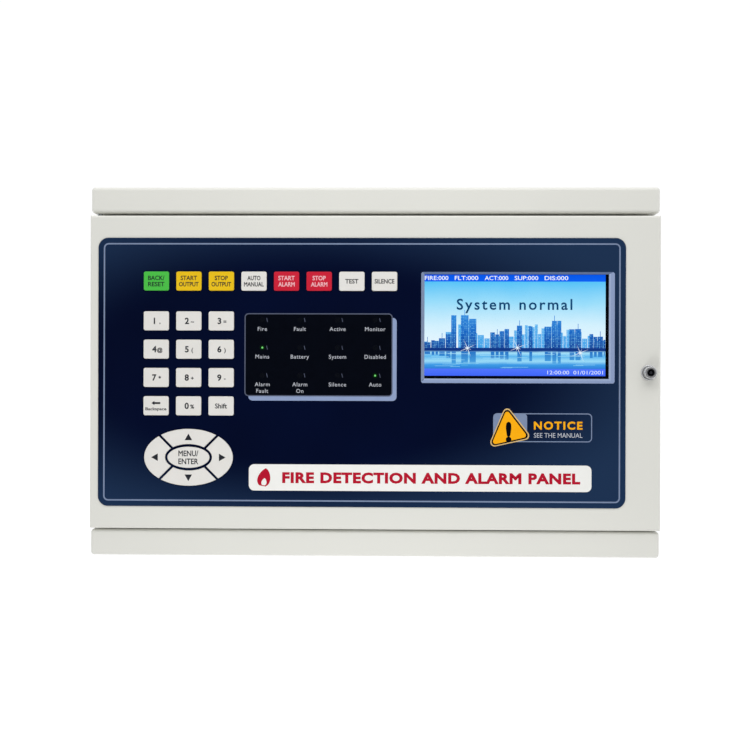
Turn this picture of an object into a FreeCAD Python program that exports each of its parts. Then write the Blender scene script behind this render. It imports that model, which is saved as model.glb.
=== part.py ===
import FreeCAD, Part

# Wall-mounted fire alarm control panel, modelled as it comes apart on a bench.
#
# A bent sheet-steel back box is closed at its two ends by deep caps. The caps' fronts are the two
# rounded bars that frame the door from above and below. The door is a pressed tray on two hidden
# pivot pins at its left side, with a small tubular cam lock at its right edge. A printed overlay
# covers the door, and behind it sit the key guide, the keys, the keypad board with its lamps, and
# a 7 inch colour display. The box holds a chassis plate with the main board, the loop card and the
# mains power supply, and two 12 V batteries stand on the bottom cap behind a strap.
#
# Frame: millimetres, +Z up, +X to the right as seen from the room, +Y into the wall.
# The origin is the middle of the back face, on the wall.

import math
import os

Vec = FreeCAD.Vector

# ---------------------------------------------------------------- driving dimensions
PANEL_HEIGHT = 315.0
PANEL_DEPTH = 120.0
CAP_WIDTH = 485.0
CAP_BAR = 22.2            # height of the bar that each cap shows at the front
CAP_ROUND = 3.0           # rounding of the caps' outer edges
DOOR_PROUD = 2.5          # how far the door's face stands out past the caps' fronts
SHEET = 1.2               # steel of the box, caps and chassis
BOX_WIDTH = 476.0
BOX_DEPTH = 98.0
LIP = 13.0                # inward return along the front of the box's sides

DOOR_WIDTH = 485.2
DOOR_SHEET = 1.5
DOOR_DEPTH = 20.0
DOOR_BEND = 2.0
GAP_ABOVE = 2.4           # the door hangs a little low in its opening
GAP_BELOW = 1.2

OVERLAY_WIDTH = 448.0
OVERLAY_HEIGHT = 228.6
OVERLAY_ROUND = 8.5
OVERLAY_THICK = 0.5
OVERLAY_X = -11.2         # the overlay's middle, measured from the door's

KEY_WIDTH = 21.5
KEY_HEIGHT = 16.2
KEY_ROUND = 1.6
KEY_PROUD = 0.8           # how far a key stands out of the overlay
KEY_TRAVEL = 0.8
KEY_CLEAR = 0.25          # gap between a key and its hole in the guide
KEY_FLANGE = 0.5          # how far a key's rear flange laps the guide
KEY_PITCH_X = 27.75
KEY_PITCH_Z = 24.1
FIRST_KEY_X = -174.3      # from the overlay's middle, as are all the places below
ROW_Z = 77.4
PAD_TOP_Z = 43.5

NAV_X, NAV_Z = -146.5, -72.6
NAV_A, NAV_B = 37.8, 24.15        # half axes of the oval cluster
RING_A, RING_B = 20.1, 11.3       # inner edge of the four arrow keys
ENTER_A, ENTER_B = 17.9, 8.95     # the oval key in the middle
NAV_SLOT = 2.1                    # width of the slanting gaps between the arrow keys
NAV_SLOT_X = 6.1                  # where a slanting gap would cross the cluster's long axis

LAMP_X, LAMP_Z = -83.8, 44.5      # first lamp, upper left of four columns and three rows
LAMP_PITCH_X, LAMP_PITCH_Z = 32.0, 23.55
LAMP_WINDOW_R = 2.2
LAMP_R = 1.5

WINDOW_X, WINDOW_Z = 131.8, 39.3  # middle of the display's opening in the overlay
WINDOW_WIDTH, WINDOW_HEIGHT = 155.8, 88.4
DISPLAY_X, DISPLAY_Z = 130.7, 40.2
DISPLAY_WIDTH, DISPLAY_HEIGHT, DISPLAY_THICK = 165.0, 100.0, 5.7
GLASS_WIDTH, GLASS_HEIGHT = 158.4, 90.4

LOCK_X, LOCK_Z = 232.3, 0.0       # from the panel's middle
LOCK_BODY_R = 5.5
PLUG_R = 3.2
CAM_LENGTH, CAM_HALF_WIDTH, CAM_THICK = 26.0, 3.0, 2.0

PIVOT_X, PIVOT_Y = -237.0, -110.0
PIN_R = 2.0
RUNNING = 0.06                    # radial clearance of a shaft that turns

WALL_HOLE_R = 3.5
WALL_HOLE_X, WALL_HOLE_Z = 215.0, 115.0
ENTRY_R, GROMMET_R = 12.5, 9.0
ENTRY_Y = -46.0
ENTRIES_X = (-150.0, 150.0)

BATTERY_WIDTH, BATTERY_HEIGHT, BATTERY_DEPTH = 151.0, 94.0, 65.0
BATTERIES_LEFT = (-165.0, -8.0)

# ---------------------------------------------------------------- places that follow
TOP = PANEL_HEIGHT / 2
FRONT = -PANEL_DEPTH
CAP_FRONT = FRONT + DOOR_PROUD
BAR_EDGE = TOP - CAP_BAR                      # inner edge of each bar
DOOR_TOP = BAR_EDGE - GAP_ABOVE
DOOR_BOTTOM = -BAR_EDGE + GAP_BELOW
DOOR_MID_Z = (DOOR_TOP + DOOR_BOTTOM) / 2
DOOR_INNER = FRONT + DOOR_SHEET
DOOR_REAR = FRONT + DOOR_DEPTH
OVERLAY_FRONT = FRONT - OVERLAY_THICK
BOX_FRONT = -BOX_DEPTH
BOX_HALF = BOX_WIDTH / 2
BOX_END = TOP - SHEET                         # the box ends against the caps' sheets
FLOOR = -BOX_END

GUIDE_THICK = 2.5
GUIDE_REAR = DOOR_INNER + GUIDE_THICK
FLANGE_FRONT = GUIDE_REAR + 0.1
FLANGE_REAR = FLANGE_FRONT + 1.2
BOARD_THICK = 1.6
KEYPAD_FRONT = GUIDE_REAR + 4.0
KEYPAD_REAR = KEYPAD_FRONT + BOARD_THICK
STUD_R = 1.5                                  # M3, on the door and on the boards
M3_FLATS = 5.5
MAT_THICK = 1.2
STEM_R = 4.0
ARROW_STEM_R = 3.5
KEY_EDGE = 0.4                                # rounding of a key's face all round
PILL_GAP = 0.1                                # left between a pressed key and the board
STEM_REAR = KEYPAD_FRONT - KEY_TRAVEL - PILL_GAP

CHASSIS_REAR = -10.5
CHASSIS_FRONT = CHASSIS_REAR - 1.5
MAIN_REAR = CHASSIS_FRONT - 8.0
MAIN_FRONT = MAIN_REAR - BOARD_THICK


def on_overlay(x, z):
    """A place given from the overlay's middle, as a place in the panel's frame."""
    return x + OVERLAY_X, z + DOOR_MID_Z


# ---------------------------------------------------------------- shapes
def block(x0, x1, y0, y1, z0, z1):
    """A box between two corners, given in any order."""
    low = Vec(min(x0, x1), min(y0, y1), min(z0, z1))
    return Part.makeBox(abs(x1 - x0), abs(y1 - y0), abs(z1 - z0), low)


def rod_y(x, z, radius, y0, y1):
    """A round bar along Y."""
    return Part.makeCylinder(radius, abs(y1 - y0), Vec(x, min(y0, y1), z), Vec(0, 1, 0))


def rod_z(x, y, radius, z0, z1):
    """A round bar along Z."""
    return Part.makeCylinder(radius, abs(z1 - z0), Vec(x, y, min(z0, z1)), Vec(0, 0, 1))


def rounded(x, z, width, height, radius, y0, y1):
    """A plate that faces Y, centred on x and z, with round corners."""
    plate = block(x - width / 2, x + width / 2, y0, y1, z - height / 2, z + height / 2)
    return plate.makeFillet(radius, edges_along(plate, "y"))


def oval(x, z, half_x, half_z, y0, y1):
    """An elliptical plate that faces Y."""
    low = min(y0, y1)
    if half_x >= half_z:
        across, up = Vec(x + half_x, low, z), Vec(x, low, z + half_z)
    else:
        across, up = Vec(x, low, z + half_z), Vec(x + half_x, low, z)
    outline = Part.Wire(Part.Ellipse(across, up, Vec(x, low, z)).toShape())
    return Part.Face(outline).extrude(Vec(0, abs(y1 - y0), 0))


def steps(start, count, pitch):
    """The places of things that repeat at an even pitch."""
    return [start + n * pitch for n in range(count)]


def edges_along(solid, axis):
    """The straight edges of a solid that run along "x", "y" or "z"."""
    return [e for e in solid.Edges if abs(getattr(e.tangentAt(e.FirstParameter), axis)) > 0.99]


def edges_at(solid, y):
    """The edges of a solid that lie wholly at one depth."""
    return [e for e in solid.Edges if all(abs(v.Point.y - y) < 0.01 for v in e.Vertexes)]


def hexagon(x, z, across_flats, y0, y1):
    """A hexagonal bar along Y, with flats facing left and right."""
    radius = across_flats / math.sqrt(3)
    turns = [math.radians(30 + 60 * n) for n in range(7)]
    corners = [Vec(x + radius * math.cos(a), min(y0, y1), z + radius * math.sin(a)) for a in turns]
    return Part.Face(Part.makePolygon(corners)).extrude(Vec(0, abs(y1 - y0), 0))


def save(name, solids):
    """Writes one or more separate solids as the node called name."""
    solids = solids if isinstance(solids, list) else [solids]
    solids = [s.removeSplitter() for s in solids]
    shape = solids[0] if len(solids) == 1 else Part.makeCompound(solids)
    shape.exportStep(os.path.join("parts", name + ".step"))


# ---------------------------------------------------------------- back box and caps
NOTCH_HALF = 9.0
VENT_HEIGHT, VENT_PITCH, VENTS_FROM = 2.6, 8.0, 52.0
VENT_FRONT, VENT_BACK = -75.0, -35.0
STOP_DROP = 10.0
STOP_CLEAR = 0.2


def back_box():
    """Back wall and two sides bent from one sheet, with inward lips along the front."""
    outer = block(-BOX_HALF, BOX_HALF, BOX_FRONT, 0, -BOX_END, BOX_END)
    outer = outer.makeFillet(2 * SHEET, edges_along(outer, "z"))
    inner_half = BOX_HALF - SHEET
    inner = block(-inner_half, inner_half, BOX_FRONT + SHEET, -SHEET, -TOP, TOP)
    shell = outer.cut(inner.makeFillet(SHEET, edges_along(inner, "z")))
    mouth_half = BOX_HALF - LIP
    shell = shell.cut(block(-mouth_half, mouth_half, BOX_FRONT - 1, BOX_FRONT + 2, -TOP, TOP))

    holes = [rod_y(sx * WALL_HOLE_X, sz * WALL_HOLE_Z, WALL_HOLE_R, -3, 1)
             for sx in (-1, 1) for sz in (-1, 1)]
    # The lock's barrel passes the right lip here, and its cam turns behind the lip.
    notch = block(mouth_half - 1, inner_half, BOX_FRONT - 1, BOX_FRONT + 2,
                  LOCK_Z - NOTCH_HALF, LOCK_Z + NOTCH_HALF)
    vents = [vent(side * BOX_HALF, z) for side in (-1, 1) for z in steps(VENTS_FROM, 7, VENT_PITCH)]
    return shell.cut(holes + [notch] + vents)


def vent(x, z):
    """A cutter for a slot with round ends, through a wall that faces X."""
    radius, reach = VENT_HEIGHT / 2, 4.0
    back, front = VENT_BACK - radius, VENT_FRONT + radius
    ends = [Part.makeCylinder(radius, 2 * reach, Vec(x - reach, y, z), Vec(1, 0, 0))
            for y in (front, back)]
    return block(x - reach, x + reach, front, back, z - radius, z + radius).fuse(ends)


def cap_blank(inset, rear):
    """The top cap's outer form, or its hollow when inset by the sheet. It is open to the wall."""
    half = CAP_WIDTH / 2 - inset
    form = block(-half, half, CAP_FRONT + inset, rear, BAR_EDGE + inset, TOP - inset)
    soft = [e for e in form.Edges if not all(v.Point.y > rear - 0.01 for v in e.Vertexes)]
    return form.makeFillet(CAP_ROUND - inset, soft)


def cap():
    """The top cap: a deep channel with closed ends, a floor lip, and a down-turned door stop."""
    shell = cap_blank(0, 0).cut(cap_blank(SHEET, 1))
    into_box = block(-BOX_HALF, BOX_HALF, BOX_FRONT, 1, BAR_EDGE - 1, BAR_EDGE + SHEET + 1)
    stop_half = BOX_HALF - LIP - STOP_CLEAR
    stop = block(-stop_half, stop_half, BOX_FRONT, BOX_FRONT + SHEET,
                 BAR_EDGE - STOP_DROP, BAR_EDGE + SHEET)
    pin_hole = rod_z(PIVOT_X, PIVOT_Y, PIN_R + RUNNING, BAR_EDGE - 1, BAR_EDGE + SHEET + 1)
    return shell.cut(into_box).fuse(stop).cut(pin_hole)


def top_cap():
    entries = [rod_z(x, ENTRY_Y, ENTRY_R, TOP - 3, TOP + 1) for x in ENTRIES_X]
    return cap().cut(entries)


def bottom_cap():
    return cap().mirror(Vec(0, 0, 0), Vec(0, 0, 1))


def grommet(x):
    """A rubber ring snapped into a cable entry, with a lip above and below the sheet."""
    lip_r, lip = ENTRY_R + 2.5, 1.6
    ring = rod_z(x, ENTRY_Y, ENTRY_R, TOP - SHEET, TOP)
    lips = [rod_z(x, ENTRY_Y, lip_r, TOP, TOP + lip),
            rod_z(x, ENTRY_Y, lip_r, TOP - SHEET - lip, TOP - SHEET)]
    return ring.fuse(lips).cut(rod_z(x, ENTRY_Y, GROMMET_R, TOP - 5, TOP + 5))


# ---------------------------------------------------------------- chassis and electronics
# Areas are left, right, bottom and top, as seen from the room.
CHASSIS = (-200.0, 200.0, -48.0, 120.0)
CHASSIS_FOLD = 7.0
MAIN_BOARD = (-190.0, 30.0, -36.0, 112.0)
PROCESSOR = (-160.0, -140.0, 20.0, 40.0)
MEMORIES = ((-126.0, -114.0, 24.0, 34.0), (-126.0, -114.0, 8.0, 18.0))
HEADER = (-184.0, -178.0, 4.0, 40.0)
RELAY_SIDE, RELAY_DEPTH = 15.5, 15.5
RELAY_WIDTH, RELAY_PITCH = 19.0, 24.0
RELAYS_LEFT, RELAYS_Z = -176.0, 68.0
CAN_R, CAN_DEPTH, CAN_Z = 6.3, 16.0, -20.0
CELL_R, CELL_DEPTH, CELL_X, CELL_Z = 10.2, 4.2, -116.0, -18.0
STRIPS_LEFT = (-182.0, -82.0)
STRIP_Z = (98.0, 108.0)
LOOP_CARD = (-90.0, 18.0, -26.0, 48.0)
LOOP_RISE = 11.0                              # from the main board to the loop card
LOOP_CHIP = (-28.0, -10.0, 4.0, 22.0)
CHOKES_X, CHOKE_Z, CHOKE_R, CHOKE_DEPTH = (-72.0, -50.0), 30.0, 7.5, 9.0
SUPPLY = (52.0, 182.0, 14.0, 112.0)
SUPPLY_DEPTH = 38.0
SUPPLY_FOOT = 8.0                             # from the case's back to its board's front
CORE = (92.0, 124.0, 50.0, 78.0)
EARTH_X, EARTH_Z = 200.0, -72.0


def area_plate(area, corner, y0, y1):
    """A plate with round corners over an area."""
    left, right, bottom, top = area
    return rounded((left + right) / 2, (bottom + top) / 2, right - left, top - bottom, corner, y0, y1)


def area_block(area, y0, y1):
    """A square-cornered block over an area."""
    left, right, bottom, top = area
    return block(left, right, y0, y1, bottom, top)


def inset_corners(area, margin):
    """The four places at a margin inside an area's corners."""
    left, right, bottom, top = area
    return [(x, z) for x in (left + margin, right - margin) for z in (bottom + margin, top - margin)]


def chassis_plate():
    """A zinc-plated plate with stiffening flanges along its top and bottom edges."""
    left, right, bottom, top = CHASSIS
    thick = CHASSIS_REAR - CHASSIS_FRONT
    corner = 3.0
    plate = area_plate(CHASSIS, corner, CHASSIS_FRONT, CHASSIS_REAR)
    edge = CHASSIS_FRONT - CHASSIS_FOLD
    flanges = [block(left + corner, right - corner, edge, CHASSIS_REAR, z, z + thick)
               for z in (bottom, top - thick)]
    plate = plate.fuse(flanges)
    slot_width, slot_height = 12.0, 3.0
    tie_slots = [block(x, x + slot_width, CHASSIS_FRONT - 1, CHASSIS_REAR + 1, z, z + slot_height)
                 for x in (36.0, 186.0) for z in steps(-30.0, 5, 30.0)]
    return plate.cut(tie_slots)


def main_board():
    board = area_plate(MAIN_BOARD, 2.5, MAIN_FRONT, MAIN_REAR)
    hole_r = STUD_R + 0.2
    return board.cut([rod_y(x, z, hole_r, MAIN_FRONT - 1, MAIN_REAR + 1) for x, z in BOARD_FIXINGS])


BOARD_FIXINGS = inset_corners(MAIN_BOARD, 5.0)
CHASSIS_FIXINGS = inset_corners(CHASSIS, 9.0)


def standoffs():
    """Spacers behind the chassis plate, and hexagonal pillars under the main board."""
    spacer_r = 4.0
    behind = [rod_y(x, z, spacer_r, -SHEET, CHASSIS_REAR) for x, z in CHASSIS_FIXINGS]
    pillars = [hexagon(x, z, M3_FLATS, CHASSIS_FRONT, MAIN_REAR) for x, z in BOARD_FIXINGS]
    return behind + pillars


def pan_screw(x, z, seat):
    """An M3 pan-head screw's head, with a cross slot, standing on a surface that faces the room."""
    head_r, head_height, edge = 2.9, 1.9, 0.9
    arm, half_slot, slot_floor = 1.7, 0.35, 1.0
    crown = seat - head_height
    head = rod_y(x, z, head_r, crown, seat)
    head = head.makeFillet(edge, edges_at(head, crown))
    cross = [block(x - a, x + a, crown - 1, seat - slot_floor, z - b, z + b)
             for a, b in ((arm, half_slot), (half_slot, arm))]
    return head.cut(cross)


def board_screws():
    on_board = [pan_screw(x, z, MAIN_FRONT) for x, z in BOARD_FIXINGS]
    on_chassis = [pan_screw(x, z, CHASSIS_FRONT) for x, z in CHASSIS_FIXINGS]
    on_strap = [pan_screw(x, STRAP_MID_Z, -2 * SHEET) for x in STRAP_FEET_X]
    return on_board + on_chassis + on_strap


def board_parts():
    """The larger components on the main board: relays, capacitors, chips and the clock's cell."""
    relays = [area_block((x, x + RELAY_WIDTH, RELAYS_Z, RELAYS_Z + RELAY_SIDE),
                         MAIN_FRONT - RELAY_DEPTH, MAIN_FRONT)
              for x in steps(RELAYS_LEFT, 4, RELAY_PITCH)]
    cans = [rod_y(x, CAN_Z, CAN_R, MAIN_FRONT - CAN_DEPTH, MAIN_FRONT)
            for x in steps(RELAYS_LEFT, 3, 16.0)]
    chips = [area_block(area, MAIN_FRONT - 1.6, MAIN_FRONT) for area in (PROCESSOR,) + MEMORIES]
    cell = rod_y(CELL_X, CELL_Z, CELL_R, MAIN_FRONT - CELL_DEPTH, MAIN_FRONT)
    header = area_block(HEADER, MAIN_FRONT - 9.0, MAIN_FRONT)
    return relays + cans + chips + [cell, header]


def terminal_strip(left, ways, pitch, y_seat, z0, z1, height):
    """A row of screw terminals: one screw well and one wire mouth for each way."""
    strip = block(left, left + ways * pitch, y_seat - height, y_seat, z0, z1)
    face, mid = y_seat - height, (z0 + z1) / 2
    well_r, well_deep = 1.7, 4.0
    cuts = []
    for x in steps(left + pitch / 2, ways, pitch):
        cuts.append(rod_y(x, mid, well_r, face - 1, face + well_deep))
        cuts.append(block(x - well_r, x + well_r, y_seat - 6, y_seat - 2, z1 - well_deep, z1 + 1))
    return strip.cut(cuts)


def field_terminals():
    """Two pluggable strips along the main board's top edge, for loops, sounders and relays."""
    pitch, ways, height = 5.08, 18, 14.0
    return [terminal_strip(left, ways, pitch, MAIN_FRONT, *STRIP_Z, height) for left in STRIPS_LEFT]


def loop_card():
    """A daughter board that plugs into the main board through two headers."""
    left, right, bottom, top = LOOP_CARD
    rear = MAIN_FRONT - LOOP_RISE
    front = rear - BOARD_THICK
    board = area_plate(LOOP_CARD, 2.0, front, rear)
    inset, header_height = 8.0, 5.0
    headers = [block(left + inset, right - inset, rear, MAIN_FRONT, z, z + header_height)
               for z in (bottom + 2.0, top - 2.0 - header_height)]
    chokes = [rod_y(x, CHOKE_Z, CHOKE_R, front - CHOKE_DEPTH, front) for x in CHOKES_X]
    chip = area_block(LOOP_CHIP, front - 2.2, front)
    return [board, chip] + headers + chokes


def power_supply():
    """A boxed mains supply: a perforated case, and the board and transformer inside it."""
    left, right, bottom, top = SUPPLY
    front = CHASSIS_FRONT - SUPPLY_DEPTH
    hollow = block(left + SHEET, right - SHEET, front + SHEET, CHASSIS_FRONT - SHEET,
                   bottom + SHEET, top - SHEET)
    case = area_block(SUPPLY, front, CHASSIS_FRONT).cut(hollow)
    vent_r, column_pitch, row_pitch = 2.4, 10.0, 8.0
    vents = []
    for row in range(8):
        z = bottom + 30.0 + row * row_pitch
        first = left + 15.0 + (row % 2) * column_pitch / 2
        vents += [rod_y(x, z, vent_r, front - 1, front + 2 * SHEET) for x in steps(first, 11, column_pitch)]
    case = case.cut(vents)
    margin, board_front = 4.0, CHASSIS_FRONT - SUPPLY_FOOT
    board = block(left + margin, right - margin, board_front, board_front + BOARD_THICK,
                  bottom + margin, top - margin)
    tall = 24.0
    core = area_block(CORE, board_front - tall, board_front)
    caps = [rod_y(right - 35.0, z, 8.0, board_front - tall, board_front) for z in (44.0, 66.0)]
    strip = terminal_strip(left + 30.0, 7, 9.5, front, bottom + margin, bottom + margin + 15.0, 8.0)
    return [case, board, core, strip] + caps


def mains_terminals():
    """The mains inlet's three-way block, and the fuse holder beside it."""
    inlet = terminal_strip(132.0, 3, 10.0, CHASSIS_FRONT, -34.0, -14.0, 16.0)
    base_left, base_right, base_mid_z, base_height, base_depth = 84.0, 118.0, -24.0, 12.0, 6.0
    fuse_base = block(base_left, base_right, CHASSIS_FRONT - base_depth, CHASSIS_FRONT,
                      base_mid_z - base_height / 2, base_mid_z + base_height / 2)
    fuse_r, fuse_long = 2.6, 20.0
    fuse_left = (base_left + base_right - fuse_long) / 2
    end = Vec(fuse_left, CHASSIS_FRONT - base_depth - fuse_r, base_mid_z)
    fuse = Part.makeCylinder(fuse_r, fuse_long, end, Vec(1, 0, 0))
    return [inlet, fuse_base, fuse]


def earth_stud():
    """A welded M5 stud with its washer and two nuts, by the mains side."""
    stud_r, washer_r, nut_flats, nut_height, washer_thick = 2.5, 5.5, 8.0, 4.0, 1.0
    x, z, stud_end, first_seat = EARTH_X, EARTH_Z, -24.0, -3.0
    stud = rod_y(x, z, stud_r, -SHEET, stud_end)
    washer_seat = first_seat - nut_height
    second_seat = washer_seat - washer_thick
    thread = rod_y(x, z, stud_r, 0, stud_end)
    washer = rod_y(x, z, washer_r, second_seat, washer_seat).cut(thread)
    nuts = [hexagon(x, z, nut_flats, seat, seat - nut_height).cut(thread)
            for seat in (first_seat, second_seat)]
    return [stud, washer] + nuts


# ---------------------------------------------------------------- batteries
STRAP_HEIGHT = 25.0
STRAP_MID_Z = -112.0
STRAP_SPARE = 6.0
STRAP_FOOT = 16.0
STRAP_LEFT = BATTERIES_LEFT[0] - STRAP_SPARE
STRAP_RIGHT = BATTERIES_LEFT[1] + BATTERY_WIDTH + STRAP_SPARE
STRAP_FEET_X = (STRAP_LEFT - STRAP_FOOT / 2, STRAP_RIGHT + STRAP_FOOT / 2)
BATTERY_REAR = -SHEET - 2.0
BATTERY_FRONT = BATTERY_REAR - BATTERY_DEPTH
BATTERY_TOP = FLOOR + BATTERY_HEIGHT


def battery(left):
    """A sealed lead-acid battery: a case and a lid that is a little narrower."""
    lid_height, lid_inset, corner = 10.0, 1.0, 2.5
    right, shoulder = left + BATTERY_WIDTH, BATTERY_TOP - lid_height
    body = block(left, right, BATTERY_FRONT, BATTERY_REAR, FLOOR, shoulder)
    lid = block(left + lid_inset, right - lid_inset, BATTERY_FRONT + lid_inset, BATTERY_REAR - lid_inset,
                shoulder, BATTERY_TOP)
    body, lid = [part.makeFillet(corner, edges_along(part, "z")) for part in (body, lid)]
    return body.fuse(lid)


def battery_tabs():
    """Two blade terminals on top of each battery."""
    thick, side, inset = 0.8, 6.3, 14.0
    y0 = BATTERY_FRONT + inset - side / 2
    return [block(x, x + thick, y0, y0 + side, BATTERY_TOP, BATTERY_TOP + side)
            for left in BATTERIES_LEFT for x in (left + inset, left + BATTERY_WIDTH - inset - thick)]


def battery_bracket():
    """A steel strap across the front of both batteries, with a foot at each end on the back wall."""
    z0, z1 = STRAP_MID_Z - STRAP_HEIGHT / 2, STRAP_MID_Z + STRAP_HEIGHT / 2
    face = BATTERY_FRONT - 0.4
    bar = block(STRAP_LEFT, STRAP_RIGHT, face - SHEET, face, z0, z1)
    legs = [block(x, x + SHEET, face - SHEET, -SHEET, z0, z1) for x in (STRAP_LEFT, STRAP_RIGHT - SHEET)]
    feet = [block(STRAP_LEFT - STRAP_FOOT, STRAP_LEFT + SHEET, -2 * SHEET, -SHEET, z0, z1),
            block(STRAP_RIGHT - SHEET, STRAP_RIGHT + STRAP_FOOT, -2 * SHEET, -SHEET, z0, z1)]
    return bar.fuse(legs + feet)


# ---------------------------------------------------------------- keys
ROW_NAMES = ("reset", "start_device", "stop_device", "auto_manual",
             "start_sounder", "stop_sounder", "self_check", "silence")
PAD_NAMES = ("1", "2", "3", "4", "5", "6", "7", "8", "9", "backspace", "0", "shift")
ARROWS = {"up": (0, 1), "down": (0, -1), "left": (-1, 0), "right": (1, 0)}


def key_places():
    """Name and place of each oblong key: a row of eight above a pad of three columns and four rows."""
    places = [("key_" + name, FIRST_KEY_X + n * KEY_PITCH_X, ROW_Z) for n, name in enumerate(ROW_NAMES)]
    for n, name in enumerate(PAD_NAMES):
        x = FIRST_KEY_X + (n % 3) * KEY_PITCH_X
        places.append(("key_" + name, x, PAD_TOP_Z - (n // 3) * KEY_PITCH_Z))
    return places


def oblong(x, z, grow, y0, y1):
    """An oblong key's outline, grown all round, as a plate. x and z are from the overlay's middle."""
    x, z = on_overlay(x, z)
    return rounded(x, z, KEY_WIDTH + 2 * grow, KEY_HEIGHT + 2 * grow, KEY_ROUND + grow, y0, y1)


def enter_oval(grow, y0, y1):
    x, z = on_overlay(NAV_X, NAV_Z)
    return oval(x, z, ENTER_A + grow, ENTER_B + grow, y0, y1)


def arrow_sector(arrow, grow, y0, y1):
    """One arrow key's outline, grown all round: a quarter of the oval ring, between slanting gaps."""
    x, z = on_overlay(NAV_X, NAV_Z)
    ring = oval(x, z, NAV_A + grow, NAV_B + grow, y0, y1)
    ring = ring.cut(oval(x, z, RING_A - grow, RING_B - grow, min(y0, y1) - 1, max(y0, y1) + 1))
    half_gap = NAV_SLOT / 2 - grow
    for side_x in (-1, 1):
        for side_z in (-1, 1):
            gap = block(0, 2 * NAV_A, min(y0, y1) - 1, max(y0, y1) + 1, -half_gap, half_gap)
            turn = -45 * side_z if side_x > 0 else -135 * side_z
            gap.rotate(Vec(0, 0, 0), Vec(0, 1, 0), turn)
            gap.translate(Vec(x + side_x * NAV_SLOT_X, 0, z))
            ring = ring.cut(gap)
    target_x, target_z = on_overlay(*arrow_stem_place(arrow))

    def off_target(solid):
        centre = solid.CenterOfMass
        return math.hypot(centre.x - target_x, centre.z - target_z)

    return min(ring.Solids, key=off_target)


def arrow_stem_place(arrow):
    step_x, step_z = ARROWS[arrow]
    return NAV_X + step_x * (NAV_A + RING_A) / 2, NAV_Z + step_z * (NAV_B + RING_B) / 2


def key_solid(outline, stem_place, stem_r):
    """A key: the top that shows, a retaining flange behind the guide, and a stem with its pill."""
    top = outline(0, OVERLAY_FRONT - KEY_PROUD, FLANGE_FRONT)
    flange = outline(KEY_CLEAR + KEY_FLANGE, FLANGE_FRONT, FLANGE_REAR)
    x, z = on_overlay(*stem_place)
    stem = rod_y(x, z, stem_r, FLANGE_REAR, STEM_REAR)
    return top.fuse([flange, stem])


def soften(key):
    """Rounds the rim of a key's face."""
    return key.makeFillet(KEY_EDGE, edges_at(key, OVERLAY_FRONT - KEY_PROUD))


def all_keys():
    """Every key, by node name."""
    keys = {}
    for name, x, z in key_places():
        keys[name] = soften(key_solid(lambda g, y0, y1: oblong(x, z, g, y0, y1), (x, z), STEM_R))
    for arrow in ARROWS:
        place = arrow_stem_place(arrow)
        sector = key_solid(lambda g, y0, y1: arrow_sector(arrow, g, y0, y1), place, ARROW_STEM_R)
        keys["nav_" + arrow] = soften(sector)
    keys["nav_enter"] = soften(key_solid(enter_oval, (NAV_X, NAV_Z), STEM_R))
    return keys


def key_holes(grow, y0, y1):
    """Cutters for every key's hole."""
    holes = [oblong(x, z, grow, y0, y1) for _, x, z in key_places()]
    holes += [arrow_sector(arrow, grow, y0, y1) for arrow in ARROWS]
    return holes + [enter_oval(grow, y0, y1)]


def stem_places():
    places = [(x, z) for _, x, z in key_places()]
    return places + [arrow_stem_place(arrow) for arrow in ARROWS] + [(NAV_X, NAV_Z)]


# ---------------------------------------------------------------- door
def lamp_places():
    return [(LAMP_X + column * LAMP_PITCH_X, LAMP_Z - row * LAMP_PITCH_Z)
            for row in range(3) for column in range(4)]


KEYPAD_AREA = (-195.0, 36.0, -104.0, 93.5)      # left, right, bottom, top, on the overlay
KEYPAD_STUDS = [(x, z) for x in (-190.5, -77.0, 31.5) for z in (-99.5, 89.5)]
STRAP_X = (75.0, 187.0)                         # the display's two straps
STRAP_Z = (DISPLAY_Z - 56.0, DISPLAY_Z + 56.0)
BUZZER_X, BUZZER_Z, BUZZER_R, BUZZER_DEPTH = -30.0, -62.0, 6.0, 4.0
DISPLAY_REAR = DOOR_INNER + 0.1 + DISPLAY_THICK
GLASS_REAR = DISPLAY_REAR - DISPLAY_THICK + 1.4


def pads():
    """The three places where the key guide fills the door, as outlines that can be grown."""
    margin, corner = 1.2, 2.5

    def key_block(columns, rows, top_z, grow, y0, y1):
        """Round a block of keys whose top left key is in the first column at top_z."""
        wide, high = (columns - 1) * KEY_PITCH_X, (rows - 1) * KEY_PITCH_Z
        x, z = on_overlay(FIRST_KEY_X + wide / 2, top_z - high / 2)
        extra = 2 * (margin + grow)
        return rounded(x, z, wide + KEY_WIDTH + extra, high + KEY_HEIGHT + extra, corner, y0, y1)

    def row(grow, y0, y1):
        return key_block(8, 1, ROW_Z, grow, y0, y1)

    def pad(grow, y0, y1):
        return key_block(3, 4, PAD_TOP_Z, grow, y0, y1)

    def cluster(grow, y0, y1):
        x, z = on_overlay(NAV_X, NAV_Z)
        return oval(x, z, NAV_A + margin + grow, NAV_B + margin + grow, y0, y1)

    return row, pad, cluster


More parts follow.
